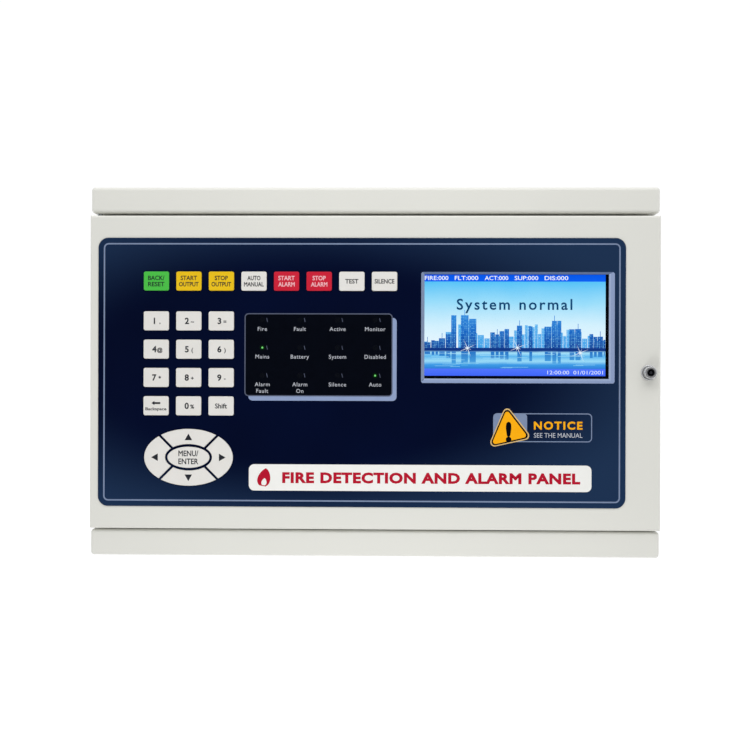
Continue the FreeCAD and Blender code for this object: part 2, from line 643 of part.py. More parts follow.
def door_panel():
    """The door's pressed steel tray, with its cut-outs and the studs welded inside it."""
    half = DOOR_WIDTH / 2
    outer = block(-half, half, FRONT, DOOR_REAR, DOOR_BOTTOM, DOOR_TOP)
    outer = outer.makeFillet(DOOR_BEND, edges_at(outer, FRONT))
    hollow = block(-half + DOOR_SHEET, half - DOOR_SHEET, DOOR_INNER, DOOR_REAR + 1,
                   DOOR_BOTTOM + DOOR_SHEET, DOOR_TOP - DOOR_SHEET)
    tray = outer.cut(hollow)
    studs = [rod_y(*on_overlay(x, z), STUD_R, DOOR_INNER, KEYPAD_REAR + 4) for x, z in KEYPAD_STUDS]
    studs += [rod_y(*on_overlay(x, z), STUD_R, DOOR_INNER, DISPLAY_REAR + 5)
              for x in STRAP_X for z in STRAP_Z]
    tray = tray.fuse(studs)
    through = (FRONT - 1, DOOR_INNER + 0.5)
    cuts = [outline(0.2, *through) for outline in pads()]
    cuts += [rod_y(*on_overlay(x, z), LAMP_WINDOW_R + 0.4, *through) for x, z in lamp_places()]
    cuts.append(display_pane(0.2, *through))
    cuts.append(rod_y(LOCK_X, LOCK_Z, LOCK_BODY_R, *through))
    cuts.append(rod_z(PIVOT_X, PIVOT_Y, PIN_R, DOOR_BOTTOM - 1, DOOR_BOTTOM + 3))
    cuts.append(rod_z(PIVOT_X, PIVOT_Y, PIN_R, DOOR_TOP - 3, DOOR_TOP + 1))
    return tray.cut(cuts)


def front_overlay():
    """The printed polyester sheet on the door, with openings for keys, lamps and display."""
    through = (OVERLAY_FRONT - 1, FRONT + 1)
    sheet = rounded(*on_overlay(0, 0), OVERLAY_WIDTH, OVERLAY_HEIGHT, OVERLAY_ROUND,
                    OVERLAY_FRONT, FRONT)
    cuts = key_holes(0.2, *through)
    cuts += [rod_y(*on_overlay(x, z), LAMP_WINDOW_R, *through) for x, z in lamp_places()]
    cuts.append(rounded(*on_overlay(WINDOW_X, WINDOW_Z), WINDOW_WIDTH, WINDOW_HEIGHT, 0.8, *through))
    return sheet.cut(cuts)


def lamp_windows():
    """A small tinted disc over each lamp, set into the overlay and standing a little proud."""
    return [rod_y(*on_overlay(x, z), LAMP_WINDOW_R, OVERLAY_FRONT - 0.1, FRONT) for x, z in lamp_places()]


def keypad_outline(corner, y0, y1):
    """A plate over the keypad's area."""
    left, right, bottom, top = KEYPAD_AREA
    x, z = on_overlay((left + right) / 2, (bottom + top) / 2)
    return rounded(x, z, right - left, top - bottom, corner, y0, y1)


def key_guide():
    """A black moulding behind the door that fills its cut-outs and guides every key."""
    guide = keypad_outline(4.0, DOOR_INNER, GUIDE_REAR)
    fills = [outline(0, FRONT, DOOR_INNER) for outline in pads()]
    bosses = [rod_y(*on_overlay(x, z), 2 * STUD_R + 0.6, DOOR_INNER, KEYPAD_FRONT - MAT_THICK)
              for x, z in KEYPAD_STUDS]
    guide = guide.fuse(fills + bosses)
    through = (FRONT - 1, KEYPAD_FRONT + 1)
    cuts = key_holes(KEY_CLEAR, *through)
    cuts += [rod_y(*on_overlay(x, z), LAMP_R + 0.5, *through) for x, z in lamp_places()]
    cuts += [rod_y(*on_overlay(x, z), STUD_R + 0.2, *through) for x, z in KEYPAD_STUDS]
    return guide.cut(cuts)


def keypad_sheet(y0, y1, lamp_r, stem_r):
    """A sheet behind the key guide, drilled for studs, and for lamps and stems where given."""
    sheet = keypad_outline(3.0, y0, y1)
    through = (min(y0, y1) - 1, max(y0, y1) + 1)
    cuts = [rod_y(*on_overlay(x, z), STUD_R + 0.2, *through) for x, z in KEYPAD_STUDS]
    if lamp_r:
        cuts += [rod_y(*on_overlay(x, z), lamp_r, *through) for x, z in lamp_places()]
    if stem_r:
        cuts += [rod_y(*on_overlay(x, z), stem_r, *through) for x, z in stem_places()]
    return sheet.cut(cuts)


def lamp(x, z):
    """A 3 mm lamp: a collar on the keypad board, a round body and a domed end."""
    x, z = on_overlay(x, z)
    tip, collar_thick = FRONT + 1.2, 1.0
    collar = rod_y(x, z, LAMP_R + 0.4, KEYPAD_FRONT, KEYPAD_FRONT - collar_thick)
    stem = rod_y(x, z, LAMP_R, KEYPAD_FRONT - collar_thick, tip + LAMP_R)
    dome = Part.makeSphere(LAMP_R, Vec(x, tip + LAMP_R, z))
    return collar.fuse([stem, dome])


def buzzer():
    """A small sounder behind the keypad board, with its sound hole."""
    x, z = on_overlay(BUZZER_X, BUZZER_Z)
    back = KEYPAD_REAR + BUZZER_DEPTH
    can = rod_y(x, z, BUZZER_R, KEYPAD_REAR, back)
    return can.cut(rod_y(x, z, 1.0, back - 2, back + 1))


def display_pane(grow, y0, y1):
    """The outline of the door's opening for the display, grown all round."""
    width, height, corner = 162.1, 93.6, 1.3
    x, z = on_overlay(DISPLAY_X, DISPLAY_Z)
    return rounded(x, z, width + 2 * grow, height + 2 * grow, corner + grow, y0, y1)


def display_window():
    """A clear pane that fills the door's opening behind the overlay."""
    return display_pane(0, FRONT, DOOR_INNER)


def display_frame():
    """The display module's tin-plated case, with a shallow pocket for the glass."""
    x, z = on_overlay(DISPLAY_X, DISPLAY_Z)
    front = DISPLAY_REAR - DISPLAY_THICK
    case = rounded(x, z, DISPLAY_WIDTH, DISPLAY_HEIGHT, 1, front, DISPLAY_REAR)
    return case.cut(rounded(x, z, GLASS_WIDTH, GLASS_HEIGHT, 0.5, front - 1, GLASS_REAR))


def display_glass():
    """The display's glass, a little below its case's front."""
    x, z = on_overlay(DISPLAY_X, DISPLAY_Z)
    play = 0.2
    return rounded(x, z, GLASS_WIDTH - play, GLASS_HEIGHT - play, 0.4, GLASS_REAR - 1.0, GLASS_REAR)


def display_brackets():
    """Two steel straps that hold the display module against the door."""
    straps = []
    for x in STRAP_X:
        width, corner = 12.0, 3.0
        length = STRAP_Z[1] - STRAP_Z[0] + width
        mid_x, mid_z = on_overlay(x, DISPLAY_Z)
        strap = rounded(mid_x, mid_z, width, length, corner, DISPLAY_REAR, DISPLAY_REAR + SHEET)
        holes = [rod_y(*on_overlay(x, z), STUD_R + 0.2, DISPLAY_REAR - 1, DISPLAY_REAR + 3)
                 for z in STRAP_Z]
        straps.append(strap.cut(holes))
    return straps


def door_nuts():
    """M3 nuts on the door's studs."""
    seats = [(x, z, KEYPAD_REAR) for x, z in KEYPAD_STUDS]
    seats += [(x, z, DISPLAY_REAR + SHEET) for x in STRAP_X for z in STRAP_Z]
    nuts = []
    for x, z, seat in seats:
        x, z = on_overlay(x, z)
        nut = hexagon(x, z, M3_FLATS, seat, seat + 2.4)
        nuts.append(nut.cut(rod_y(x, z, STUD_R, seat - 1, seat + 4)))
    return nuts


def hinge_pins():
    """The two pivots: pins with a collar inside the door, reaching into the caps' lips."""
    collar_r, collar = 3.6, 1.6
    reach = SHEET + 2.5
    top_seat, bottom_seat = DOOR_TOP - DOOR_SHEET, DOOR_BOTTOM + DOOR_SHEET
    upper = rod_z(PIVOT_X, PIVOT_Y, PIN_R, top_seat - collar, BAR_EDGE + reach)
    upper = upper.fuse(rod_z(PIVOT_X, PIVOT_Y, collar_r, top_seat - collar, top_seat))
    lower = rod_z(PIVOT_X, PIVOT_Y, PIN_R, -BAR_EDGE - reach, bottom_seat + collar)
    lower = lower.fuse(rod_z(PIVOT_X, PIVOT_Y, collar_r, bottom_seat, bottom_seat + collar))
    return [upper, lower]


# ---------------------------------------------------------------- lock
LOCK_FACE = FRONT - 7.6
LOCK_FLANGE_FACE = FRONT - 1.6
LOCK_REAR = BOX_FRONT - 1.0
CORE_REAR = LOCK_REAR - 5.0
NECK_R = 2.6
CAM_FRONT = BOX_FRONT + SHEET + 0.5
TAIL_R = 1.7


def lock_barrel():
    """The lock's chromed housing: a flange on the door, a stepped nose and a threaded body."""
    flange = rod_y(LOCK_X, LOCK_Z, LOCK_BODY_R + 1.1, LOCK_FLANGE_FACE, FRONT)
    flange = flange.makeFillet(0.8, edges_at(flange, LOCK_FLANGE_FACE))
    nose = rod_y(LOCK_X, LOCK_Z, LOCK_BODY_R - 0.3, LOCK_FACE, LOCK_FLANGE_FACE)
    nose = nose.makeFillet(0.7, edges_at(nose, LOCK_FACE))
    body = rod_y(LOCK_X, LOCK_Z, LOCK_BODY_R, FRONT, LOCK_REAR)
    bore = rod_y(LOCK_X, LOCK_Z, PLUG_R + RUNNING, LOCK_FACE - 1, LOCK_REAR + 1)
    return flange.fuse([nose, body]).cut(bore)


def lock_nut():
    nut = hexagon(LOCK_X, LOCK_Z, 14, DOOR_INNER, DOOR_INNER + 3)
    return nut.cut(rod_y(LOCK_X, LOCK_Z, LOCK_BODY_R, DOOR_INNER - 1, DOOR_INNER + 4))


def lock_plug():
    """The turning core, with a tubular keyway in front and a staked tail that holds the cam."""
    core = rod_y(LOCK_X, LOCK_Z, PLUG_R, LOCK_FACE + 0.4, CORE_REAR)
    cam_rear = CAM_FRONT + CAM_THICK
    neck = rod_y(LOCK_X, LOCK_Z, NECK_R, CORE_REAR, CAM_FRONT)
    tail = rod_y(LOCK_X, LOCK_Z, TAIL_R, CAM_FRONT, cam_rear)
    stake = rod_y(LOCK_X, LOCK_Z, TAIL_R + 0.7, cam_rear, cam_rear + 0.8)
    plug = core.fuse([neck, tail, stake])
    keyway_r, post_r, keyway_deep = 2.6, 1.3, 6.0
    keyway = rod_y(LOCK_X, LOCK_Z, keyway_r, LOCK_FACE - 1, LOCK_FACE + keyway_deep)
    post = rod_y(LOCK_X, LOCK_Z, post_r, LOCK_FACE - 2, LOCK_FACE + keyway_deep + 1)
    return plug.cut(keyway.cut(post))


def lock_cam():
    """A flat steel latch. It points inwards when unlocked, and turns up behind the box's lip."""
    cam_rear = CAM_FRONT + CAM_THICK
    blade = rounded(LOCK_X - CAM_LENGTH / 2, LOCK_Z, CAM_LENGTH, 2 * CAM_HALF_WIDTH, 2.0,
                    CAM_FRONT, cam_rear)
    plate = blade.fuse(rod_y(LOCK_X, LOCK_Z, CAM_HALF_WIDTH, CAM_FRONT, cam_rear))
    return plate.cut(rod_y(LOCK_X, LOCK_Z, TAIL_R, CAM_FRONT - 1, cam_rear + 1))


# ---------------------------------------------------------------- write every node
def main():
    os.makedirs("parts", exist_ok=True)
    save("back_box", back_box())
    save("top_cap", top_cap())
    save("bottom_cap", bottom_cap())
    save("cable_grommets", [grommet(x) for x in ENTRIES_X])
    save("chassis_plate", chassis_plate())
    save("standoffs", standoffs())
    save("main_board", main_board())
    save("board_screws", board_screws())
    save("board_parts", board_parts())
    save("field_terminals", field_terminals())
    save("loop_card", loop_card())
    save("power_supply", power_supply())
    save("mains_terminals", mains_terminals())
    save("earth_stud", earth_stud())
    save("batteries", [battery(left) for left in BATTERIES_LEFT])
    save("battery_tabs", battery_tabs())
    save("battery_bracket", battery_bracket())
    save("door_panel", door_panel())
    save("front_overlay", front_overlay())
    save("lamp_windows", lamp_windows())
    save("key_guide", key_guide())
    save("keypad_mat", keypad_sheet(KEYPAD_FRONT - MAT_THICK, KEYPAD_FRONT, 2.4, 5.5))
    save("keypad_board", keypad_sheet(KEYPAD_FRONT, KEYPAD_REAR, 0, 0))
    save("indicator_lamps", [lamp(x, z) for x, z in lamp_places()])
    save("buzzer", buzzer())
    save("display_window", display_window())
    save("display_frame", display_frame())
    save("display_glass", display_glass())
    save("display_brackets", display_brackets())
    save("door_nuts", door_nuts())
    save("hinge_pins", hinge_pins())
    save("lock_barrel", lock_barrel())
    save("lock_nut", lock_nut())
    save("lock_plug", lock_plug())
    save("lock_cam", lock_cam())
    for name, key in all_keys().items():
        save(name, key)


main()
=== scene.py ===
import math

import bpy
import numpy as np
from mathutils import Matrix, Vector


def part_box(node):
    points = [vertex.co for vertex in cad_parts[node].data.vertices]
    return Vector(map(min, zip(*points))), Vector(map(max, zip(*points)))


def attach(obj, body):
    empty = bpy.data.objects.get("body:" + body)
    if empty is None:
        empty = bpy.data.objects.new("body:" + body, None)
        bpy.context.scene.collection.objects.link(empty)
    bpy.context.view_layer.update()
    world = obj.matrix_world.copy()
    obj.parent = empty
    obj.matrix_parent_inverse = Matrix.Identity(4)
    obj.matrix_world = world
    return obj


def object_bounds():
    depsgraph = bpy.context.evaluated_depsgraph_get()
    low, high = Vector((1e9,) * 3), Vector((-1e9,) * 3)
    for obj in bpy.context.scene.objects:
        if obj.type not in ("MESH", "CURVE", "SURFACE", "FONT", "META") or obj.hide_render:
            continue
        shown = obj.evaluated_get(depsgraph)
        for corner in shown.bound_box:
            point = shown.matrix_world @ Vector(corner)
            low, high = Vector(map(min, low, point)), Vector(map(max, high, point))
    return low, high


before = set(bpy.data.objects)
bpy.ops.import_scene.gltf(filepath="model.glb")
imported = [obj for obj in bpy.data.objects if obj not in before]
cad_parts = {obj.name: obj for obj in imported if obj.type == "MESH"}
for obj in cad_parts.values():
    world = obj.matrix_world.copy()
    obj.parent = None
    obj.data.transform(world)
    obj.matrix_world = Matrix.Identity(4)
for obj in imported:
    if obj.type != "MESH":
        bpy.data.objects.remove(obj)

cad_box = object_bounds()

# ---------------------------------------------------------------- studio: camera, light and floor
# The panel stands before a white sweep, and the camera looks level at the middle of its front. One
# broad light hangs above and two small softboxes stand near the front, above and below the camera.
MM = 0.001
CAMERA_AWAY = 0.847
CAMERA_YAW, CAMERA_ROLL = math.radians(1.0), math.radians(-0.17)
FRAME_RIGHT, FRAME_DOWN = 0.0014, 0.0042
LENS_MM, SENSOR_MM = 47.9, 36.0
SWEEP_WHITE = 1.02
SOFTBOX_AWAY, SOFTBOX_AIM, SOFTBOX_SIZE = 0.48, 0.12, 0.25
FLOOR_DROP, FLOOR_FRONT, FLOOR_REACH = 0.45, -0.15, 30.0
PAPER_MOTTLE_MM = 1000 / 3

# A Mix node gives its colour sockets the same names as its others, so they go by number.
SHARE, FIRST, SECOND, MIXED = 0, 6, 7, 2

low, high = cad_box
middle = Vector(((low.x + high.x) / 2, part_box("front_overlay")[0].y, 0.0))

camera_data = bpy.data.cameras.new("camera")
camera_data.lens = LENS_MM
camera_data.sensor_width = SENSOR_MM
camera_data.shift_x = FRAME_RIGHT
camera_data.shift_y = -FRAME_DOWN
camera = bpy.data.objects.new("camera", camera_data)
bpy.context.scene.collection.objects.link(camera)
camera.location = middle + Vector((math.sin(CAMERA_YAW), -math.cos(CAMERA_YAW), 0)) * CAMERA_AWAY
camera.rotation_euler = (math.radians(90), CAMERA_ROLL, CAMERA_YAW)
bpy.context.scene.camera = camera
bpy.context.scene.view_settings.view_transform = "Standard"


def linear(hex_colour):
    """An sRGB hex colour as linear red, green, blue and a full alpha."""
    srgb = [int(hex_colour[n:n + 2], 16) / 255 for n in (1, 3, 5)]
    return [c / 12.92 if c <= 0.04045 else ((c + 0.055) / 1.055) ** 2.4 for c in srgb] + [1.0]


def add_node(tree, kind, inputs=None, **settings):
    """Adds a node, sets its properties, and gives each named input a value or a link."""
    made = tree.nodes.new(kind)
    for name, value in settings.items():
        setattr(made, name, value)
    for name, value in (inputs or {}).items():
        if isinstance(value, bpy.types.NodeSocket):
            tree.links.new(value, made.inputs[name])
        else:
            made.inputs[name].default_value = value
    return made


def fill_ramp(node, stops):
    """Gives a colour ramp its stops: a share of the way, and the colour there."""
    elements = node.color_ramp.elements
    while len(elements) < len(stops):
        elements.new(0.5)
    for element, (share, colour) in zip(elements, stops):
        element.position = share
        element.color = colour


# The sweep looks white to the camera. Reflections and soft light see a room that is dark in a cone
# round the camera, bright above and at the sides, and dimmer again behind the panel.
ROOM_LIGHT = ((0.015, 0.01), (0.19, 1.0), (0.5, 1.0), (1.0, 0.45))
world = bpy.data.worlds.new("studio")
bpy.context.scene.world = world
world.use_nodes = True
tree = world.node_tree
tree.nodes.clear()
ray = add_node(tree, "ShaderNodeLightPath")
heading = add_node(tree, "ShaderNodeTexCoord")
split = add_node(tree, "ShaderNodeSeparateXYZ", {0: heading.outputs["Generated"]})
depth = add_node(tree, "ShaderNodeMapRange", {"Value": split.outputs["Y"], "From Min": -1.0, "From Max": 1.0})
room = add_node(tree, "ShaderNodeValToRGB", {0: depth.outputs[0]})
room.color_ramp.interpolation = "EASE"
fill_ramp(room, [(share, (light, light, light, 1)) for share, light in ROOM_LIGHT])
seen = add_node(tree, "ShaderNodeMapRange", {"Value": ray.outputs["Is Camera Ray"],
                                             "To Min": room.outputs[0], "To Max": SWEEP_WHITE})
glow = add_node(tree, "ShaderNodeBackground", {"Color": (1, 1, 1, 1), "Strength": seen.outputs[0]})
add_node(tree, "ShaderNodeOutputWorld", {"Surface": glow.outputs[0]})


def lamp_at(name, kind, place, aim, **settings):
    """A light at a place, turned to shine towards a point."""
    data = bpy.data.lights.new(name, kind)
    for setting, value in settings.items():
        setattr(data, setting, value)
    made = bpy.data.objects.new(name, data)
    bpy.context.scene.collection.objects.link(made)
    made.location = place
    made.rotation_euler = (Vector(aim) - Vector(place)).to_track_quat("-Z", "Y").to_euler()
    return made


lamp_at("overhead_softlight", "SUN", (0.35, -1.6, 2.6), (0, 0, 0), energy=0.8, angle=math.radians(40))
for name, rise, power in (("high_softbox", 0.50, 0.75), ("low_softbox", -0.50, 0.9)):
    softbox = lamp_at(name, "AREA", (0, -SOFTBOX_AWAY, rise), (0, -SOFTBOX_AIM, rise / 10), energy=power,
                      shape="DISK", size=SOFTBOX_SIZE)
    softbox.visible_glossy = False

floor_mesh = bpy.data.meshes.new("floor")
floor_edges = ((-FLOOR_REACH, FLOOR_FRONT), (FLOOR_REACH, FLOOR_FRONT), (FLOOR_REACH, FLOOR_REACH),
               (-FLOOR_REACH, FLOOR_REACH))
floor_mesh.from_pydata([(x, y, low.z - FLOOR_DROP) for x, y in floor_edges], [], [(0, 1, 2, 3)])
floor = bpy.data.objects.new("floor", floor_mesh)
bpy.context.scene.collection.objects.link(floor)


def new_material(name, colour, roughness, **settings):
    """A material with one Principled shader, and its node tree and shader to build on."""
    made = bpy.data.materials.new(name)
    made.use_nodes = True
    made.node_tree.nodes.clear()
    shader = add_node(made.node_tree, "ShaderNodeBsdfPrincipled",
                      {"Base Color": linear(colour), "Roughness": roughness})
    for socket, value in settings.items():
        shader.inputs[socket.replace("_", " ")].default_value = value
    add_node(made.node_tree, "ShaderNodeOutputMaterial", {"Surface": shader.outputs[0]})
    return made, made.node_tree, shader


def patches(tree, shader, size_mm, tones=None, gloss=None, detail=2.0, crystals=False, socket="Base Color"):
    """Soft patches, or sharp-edged crystals, of about this size in millimetres. The colour drifts over
    them between two tones, and the roughness between two values. Returns the colour's socket."""
    place = add_node(tree, "ShaderNodeTexCoord")
    inputs = {"Vector": place.outputs["Object"], "Scale": 1 / (size_mm * MM)}
    if crystals:
        share = add_node(tree, "ShaderNodeTexVoronoi", inputs).outputs["Color"]
    else:
        share = add_node(tree, "ShaderNodeTexNoise", {**inputs, "Detail": detail}).outputs["Fac"]
    if gloss:
        wear = add_node(tree, "ShaderNodeMapRange", {"Value": share, "To Min": gloss[0], "To Max": gloss[1]})
        tree.links.new(wear.outputs[0], shader.inputs["Roughness"])
    if not tones:
        return None
    tint = add_node(tree, "ShaderNodeMix", {SHARE: share, FIRST: linear(tones[0]), SECOND: linear(tones[1])},
                    data_type="RGBA")
    tree.links.new(tint.outputs[MIXED], shader.inputs[socket])
    return tint.outputs[MIXED]


# White paper sweep: pale, matt, with a faint fibre mottle.
paper, tree, shader = new_material("paper_sweep", "#fafafa", 0.9, Emission_Color=(1, 1, 1, 1),
                                   Emission_Strength=0.1)
patches(tree, shader, PAPER_MOTTLE_MM, tones=("#fbfbfb", "#f7f7f8"))
floor.data.materials.append(paper)


# ---------------------------------------------------------------- cabinet and door: painted steel
# Folded mild steel, 1.2 and 1.5 mm, spot-welded and powder coated in a warm light grey.
# The cured powder keeps a fine orange peel, and handling leaves faint marks on it.
PEEL_MM, HANDLED_MM = 1.3, 90.0


def grain(tree, shader, size_mm, lift, deep_mm, detail=2.0):
    """A relief with bumps of about this size and depth in millimetres, felt by the share lift."""
    place = add_node(tree, "ShaderNodeTexCoord")
    bumps = add_node(tree, "ShaderNodeTexNoise", {"Vector": place.outputs["Object"],
                                                  "Scale": 1 / (size_mm * MM), "Detail": detail})
    relief = add_node(tree, "ShaderNodeBump", {"Height": bumps.outputs["Fac"], "Strength": lift,
                                               "Distance": deep_mm * MM})
    tree.links.new(relief.outputs[0], shader.inputs["Normal"])


def paint_nodes(material, *nodes):
    """Gives CAD nodes a material, in place of the plain one that they came with."""
    for node in nodes:
        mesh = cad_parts[node].data
        mesh.materials.clear()
        mesh.materials.append(material)


powder, tree, shader = new_material("powder_coated_steel", "#dfdfd8", 0.42, IOR=1.5)
patches(tree, shader, HANDLED_MM, tones=("#e2e2db", "#dcdcd6"), gloss=(0.36, 0.48), detail=3.0)
grain(tree, shader, PEEL_MM, lift=0.12, deep_mm=0.1, detail=1.5)
paint_nodes(powder, "back_box", "top_cap", "bottom_cap", "door_panel")


# ---------------------------------------------------------------- front overlay: printed polyester
# A 0.5 mm polyester sheet, screen-printed navy and stuck to the door. Its face has a fine matt grain.
overlay_low, overlay_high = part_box("front_overlay")
OVERLAY_X = (overlay_low.x + overlay_high.x) / 2
OVERLAY_Z = (overlay_low.z + overlay_high.z) / 2
FACE = overlay_low.y
INK = 0.025 * MM

# The navy carries a painted sheen, standing in for the room's light reflected in the sheet: nearly black left
# of the middle, paler towards the corners.
DARK_X, DARK_Z, FADE_X, FADE_Z = -50.0, 5.0, 260.0, 120.0
FADE_FROM, FADE_TO, NAVY_CLOUD_MM = 0.65, 1.25, 70.0
navy, tree, shader = new_material("printed_polyester_navy", "#050b20", 0.24, IOR=1.5, Specular_IOR_Level=0.10)
dark = patches(tree, shader, NAVY_CLOUD_MM, tones=("#040a23", "#050e2d"))
grain(tree, shader, 0.5, lift=0.06, deep_mm=0.05)
place = add_node(tree, "ShaderNodeTexCoord")
darkest = (OVERLAY_X + DARK_X * MM, FACE, OVERLAY_Z + DARK_Z * MM)
centred = add_node(tree, "ShaderNodeVectorMath", {0: place.outputs["Object"], 1: darkest}, operation="SUBTRACT")
reach = (1 / (FADE_X * MM), 0, 1 / (FADE_Z * MM))
shares = add_node(tree, "ShaderNodeVectorMath", {0: centred.outputs[0], 1: reach}, operation="MULTIPLY")
away = add_node(tree, "ShaderNodeVectorMath", {0: shares.outputs[0]}, operation="LENGTH")
painted_sheen_share = add_node(tree, "ShaderNodeMapRange", {"Value": away.outputs["Value"], "From Min": FADE_FROM,
                                             "From Max": FADE_TO}, interpolation_type="SMOOTHSTEP")
# Painted reflection: the navy is mixed towards the paler #1e3250 away from the dark middle, towards the
# corners.
tint = add_node(tree, "ShaderNodeMix", {SHARE: painted_sheen_share.outputs[0], FIRST: dark, SECOND: linear("#1e3250")},
                data_type="RGBA")
tree.links.new(tint.outputs[MIXED], shader.inputs["Base Color"])
paint_nodes(navy, "front_overlay")


def on_overlay(points):
    """One point or many, in millimetres from the overlay's middle, as metres in the panel's frame."""
    return np.array(points, float) * MM + (OVERLAY_X, OVERLAY_Z)


def coats(count):
    """The front and back of a print of so many coats of ink. Its back sinks one coat into the sheet."""
    return FACE - count * INK, FACE + INK


def rounded_outline(corners, radius, turn_points=6):
    """A closed outline of convex corners, given anticlockwise in millimetres: each corner becomes an arc
    of the radius, tangent to both its edges."""
    corners = np.array(corners, float)
    before = corners - np.roll(corners, 1, axis=0)
    after = np.roll(corners, -1, axis=0) - corners
    before /= np.linalg.norm(before, axis=1)[:, None]
    after /= np.linalg.norm(after, axis=1)[:, None]
    start = np.arctan2(-before[:, 0], before[:, 1])
    sweep = np.mod(np.arctan2(-after[:, 0], after[:, 1]) - start, 2 * np.pi)
    inward = after - before
    inward /= np.linalg.norm(inward, axis=1)[:, None]
    centres = corners + inward * (radius / np.cos(sweep / 2))[:, None]
    angles = start[:, None] + sweep[:, None] * np.linspace(0, 1, turn_points)[None, :]
    arcs = centres[:, None, :] + radius * np.stack([np.cos(angles), np.sin(angles)], axis=-1)
    return arcs.reshape(-1, 2)


def rectangle(left, right, bottom, top, radius, inset=0.0):
    """A rounded rectangle's outline, in millimetres from the overlay's middle, or one set in from it."""
    left, right, bottom, top = left + inset, right - inset, bottom + inset, top - inset
    corners = [(left, bottom), (right, bottom), (right, top), (left, top)]
    return on_overlay(rounded_outline(corners, radius - inset))


def ring(outer, inner, front, back):
    """A closed flat band between two outlines of as many points: a four-cornered profile carried round."""
    count = len(outer)
    loops = [(outer, front), (inner, front), (inner, back), (outer, back)]
    points = np.concatenate([np.column_stack([o[:, 0], np.full(count, y), o[:, 1]]) for o, y in loops])
    here, there = np.arange(count), np.roll(np.arange(count), -1)
    faces = [np.column_stack([here + a * count, there + a * count, there + b * count, here + b * count])
             for a, b in ((0, 1), (1, 2), (2, 3), (3, 0))]
    return points, [tuple(q) for q in np.concatenate(faces)]


def piece(name, shapes, material, body):
    """One object from several point-and-face shapes, riding on a CAD body."""
    points, faces, count = [], [], 0
    for shape_points, shape_faces in shapes:
        points.append(shape_points)
        faces += [tuple(int(i) + count for i in face) for face in shape_faces]
        count += len(shape_points)
    mesh = bpy.data.meshes.new(name)
    mesh.from_pydata(np.concatenate(points).tolist(), [], faces)
    mesh.materials.append(material)
    made = bpy.data.objects.new(name, mesh)
    bpy.context.scene.collection.objects.link(made)
    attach(made, body)


def overlay_print(name, shapes, material):
    """A printed piece of the overlay, which rides with the door."""
    piece(name, shapes, material, "door")


def ink(name, colour, paler):
    """Screen ink on polyester: an even half-matt coat with a faint mottle of about 8 mm."""
    made, tree, shader = new_material(name, colour, 0.28, IOR=1.5, Specular_IOR_Level=0.10)
    patches(tree, shader, 8.0, tones=(colour, paler), detail=4.0)
    return made


# The border is a fine pale blue line, printed a little inside the overlay's edge.
BORDER_IN, BORDER_WIDE, BORDER_ROUND = 4.5, 1.2, 4.2
half_wide = (overlay_high.x - overlay_low.x) / 2 / MM - BORDER_IN
half_high = (overlay_high.z - overlay_low.z) / 2 / MM - BORDER_IN
blue_grey_ink = ink("screen_ink_blue_grey", "#7484a3", "#8492ae")
border = [rectangle(-half_wide, half_wide, -half_high, half_high, BORDER_ROUND, inset)
          for inset in (0.0, BORDER_WIDE)]
overlay_print("border_line", [ring(*border, *coats(1))], blue_grey_ink)


# ---------------------------------------------------------------- lamp block: print round the lamps
# A black box with a fine grey line, printed over a pale offset band. Each lamp has its name below, in ink a few
# hundredths of a millimetre thick, and beside it a small grey tick that is a painted highlight on its window's
# rim.
BOX = (-99.0, 27.0, -20.4, 50.2)
BOX_ROUND, BOX_LINE = 3.5, 0.9
SHADOW_RIGHT, SHADOW_DOWN = 3.4, 3.7
LAMP_FIRST, LAMP_PITCH = (-83.8, 44.5), (32.0, 23.55)
LAMP_NAMES = (("Fire", "Fault", "Active", "Monitor"), ("Mains", "Battery", "System", "Disabled"),
              ("Alarm\nFault", "Alarm\nOn", "Silence", "Auto"))
LABEL_HIGH, LABEL_DROP, LINE_DROP = 3.3, 7.6, 5.6
TICK_RIGHT, TICK_HIGH, TICK_WIDE, TICK_LEAN = 3.4, 3.4, 0.5, 0.7


def prism(outline, front, back):
    """A closed flat shape: the outline at two depths, joined by a wall, with a face at each end."""
    count = len(outline)
    depths = np.repeat([front, back], count)
    points = np.column_stack([np.tile(outline[:, 0], 2), depths, np.tile(outline[:, 1], 2)])
    here, there = np.arange(count), np.roll(np.arange(count), -1)
    wall = np.column_stack([here, here + count, there + count, there])
    return points, [tuple(here), tuple(here[::-1] + count)] + [tuple(q) for q in wall]


def filled(curve):
    """A filled flat curve as points and faces: its front and back a unit apart, with a wall between."""
    curve.extrude = 0.5
    holder = bpy.data.objects.new("outline", curve)
    bpy.context.scene.collection.objects.link(holder)
    mesh = bpy.data.meshes.new_from_object(holder.evaluated_get(bpy.context.evaluated_depsgraph_get()))
    flat = np.zeros(len(mesh.vertices) * 3)
    mesh.vertices.foreach_get("co", flat)
    faces = [tuple(face.vertices) for face in mesh.polygons]
    bpy.data.objects.remove(holder)
    bpy.data.curves.remove(curve)
    bpy.data.meshes.remove(mesh)
    return flat.reshape(-1, 3), faces


def letter_shape(words, place, high, front, wide=None, spread=1.0, bold=0.0, back=INK):
    """Letters as a closed shape with capitals of this height in millimetres, centred on a place in
    metres. A width in millimetres squeezes or widens them to fit."""
    curve = bpy.data.curves.new("letters", "FONT")
    curve.body = words
    curve.align_x = "CENTER"
    curve.space_character = spread
    curve.bevel_depth = bold
    curve.bevel_resolution = 0
    curve.resolution_u = 3
    flat, faces = filled(curve)
    capital_share = 0.69
    size = high * MM / capital_share
    across = size if wide is None else wide * MM / np.ptp(flat[:, 0])
    middle_x = (flat[:, 0].max() + flat[:, 0].min()) / 2
    points = np.column_stack([place[0] + (flat[:, 0] - middle_x) * across,
                              np.where(flat[:, 2] > 0, front - INK, front + back),
                              place[1] - high * MM / 2 + flat[:, 1] * size])
    return points, faces


def lamp_place(row, column):
    """A lamp's middle, in millimetres from the overlay's middle."""
    return LAMP_FIRST[0] + column * LAMP_PITCH[0], LAMP_FIRST[1] - row * LAMP_PITCH[1]


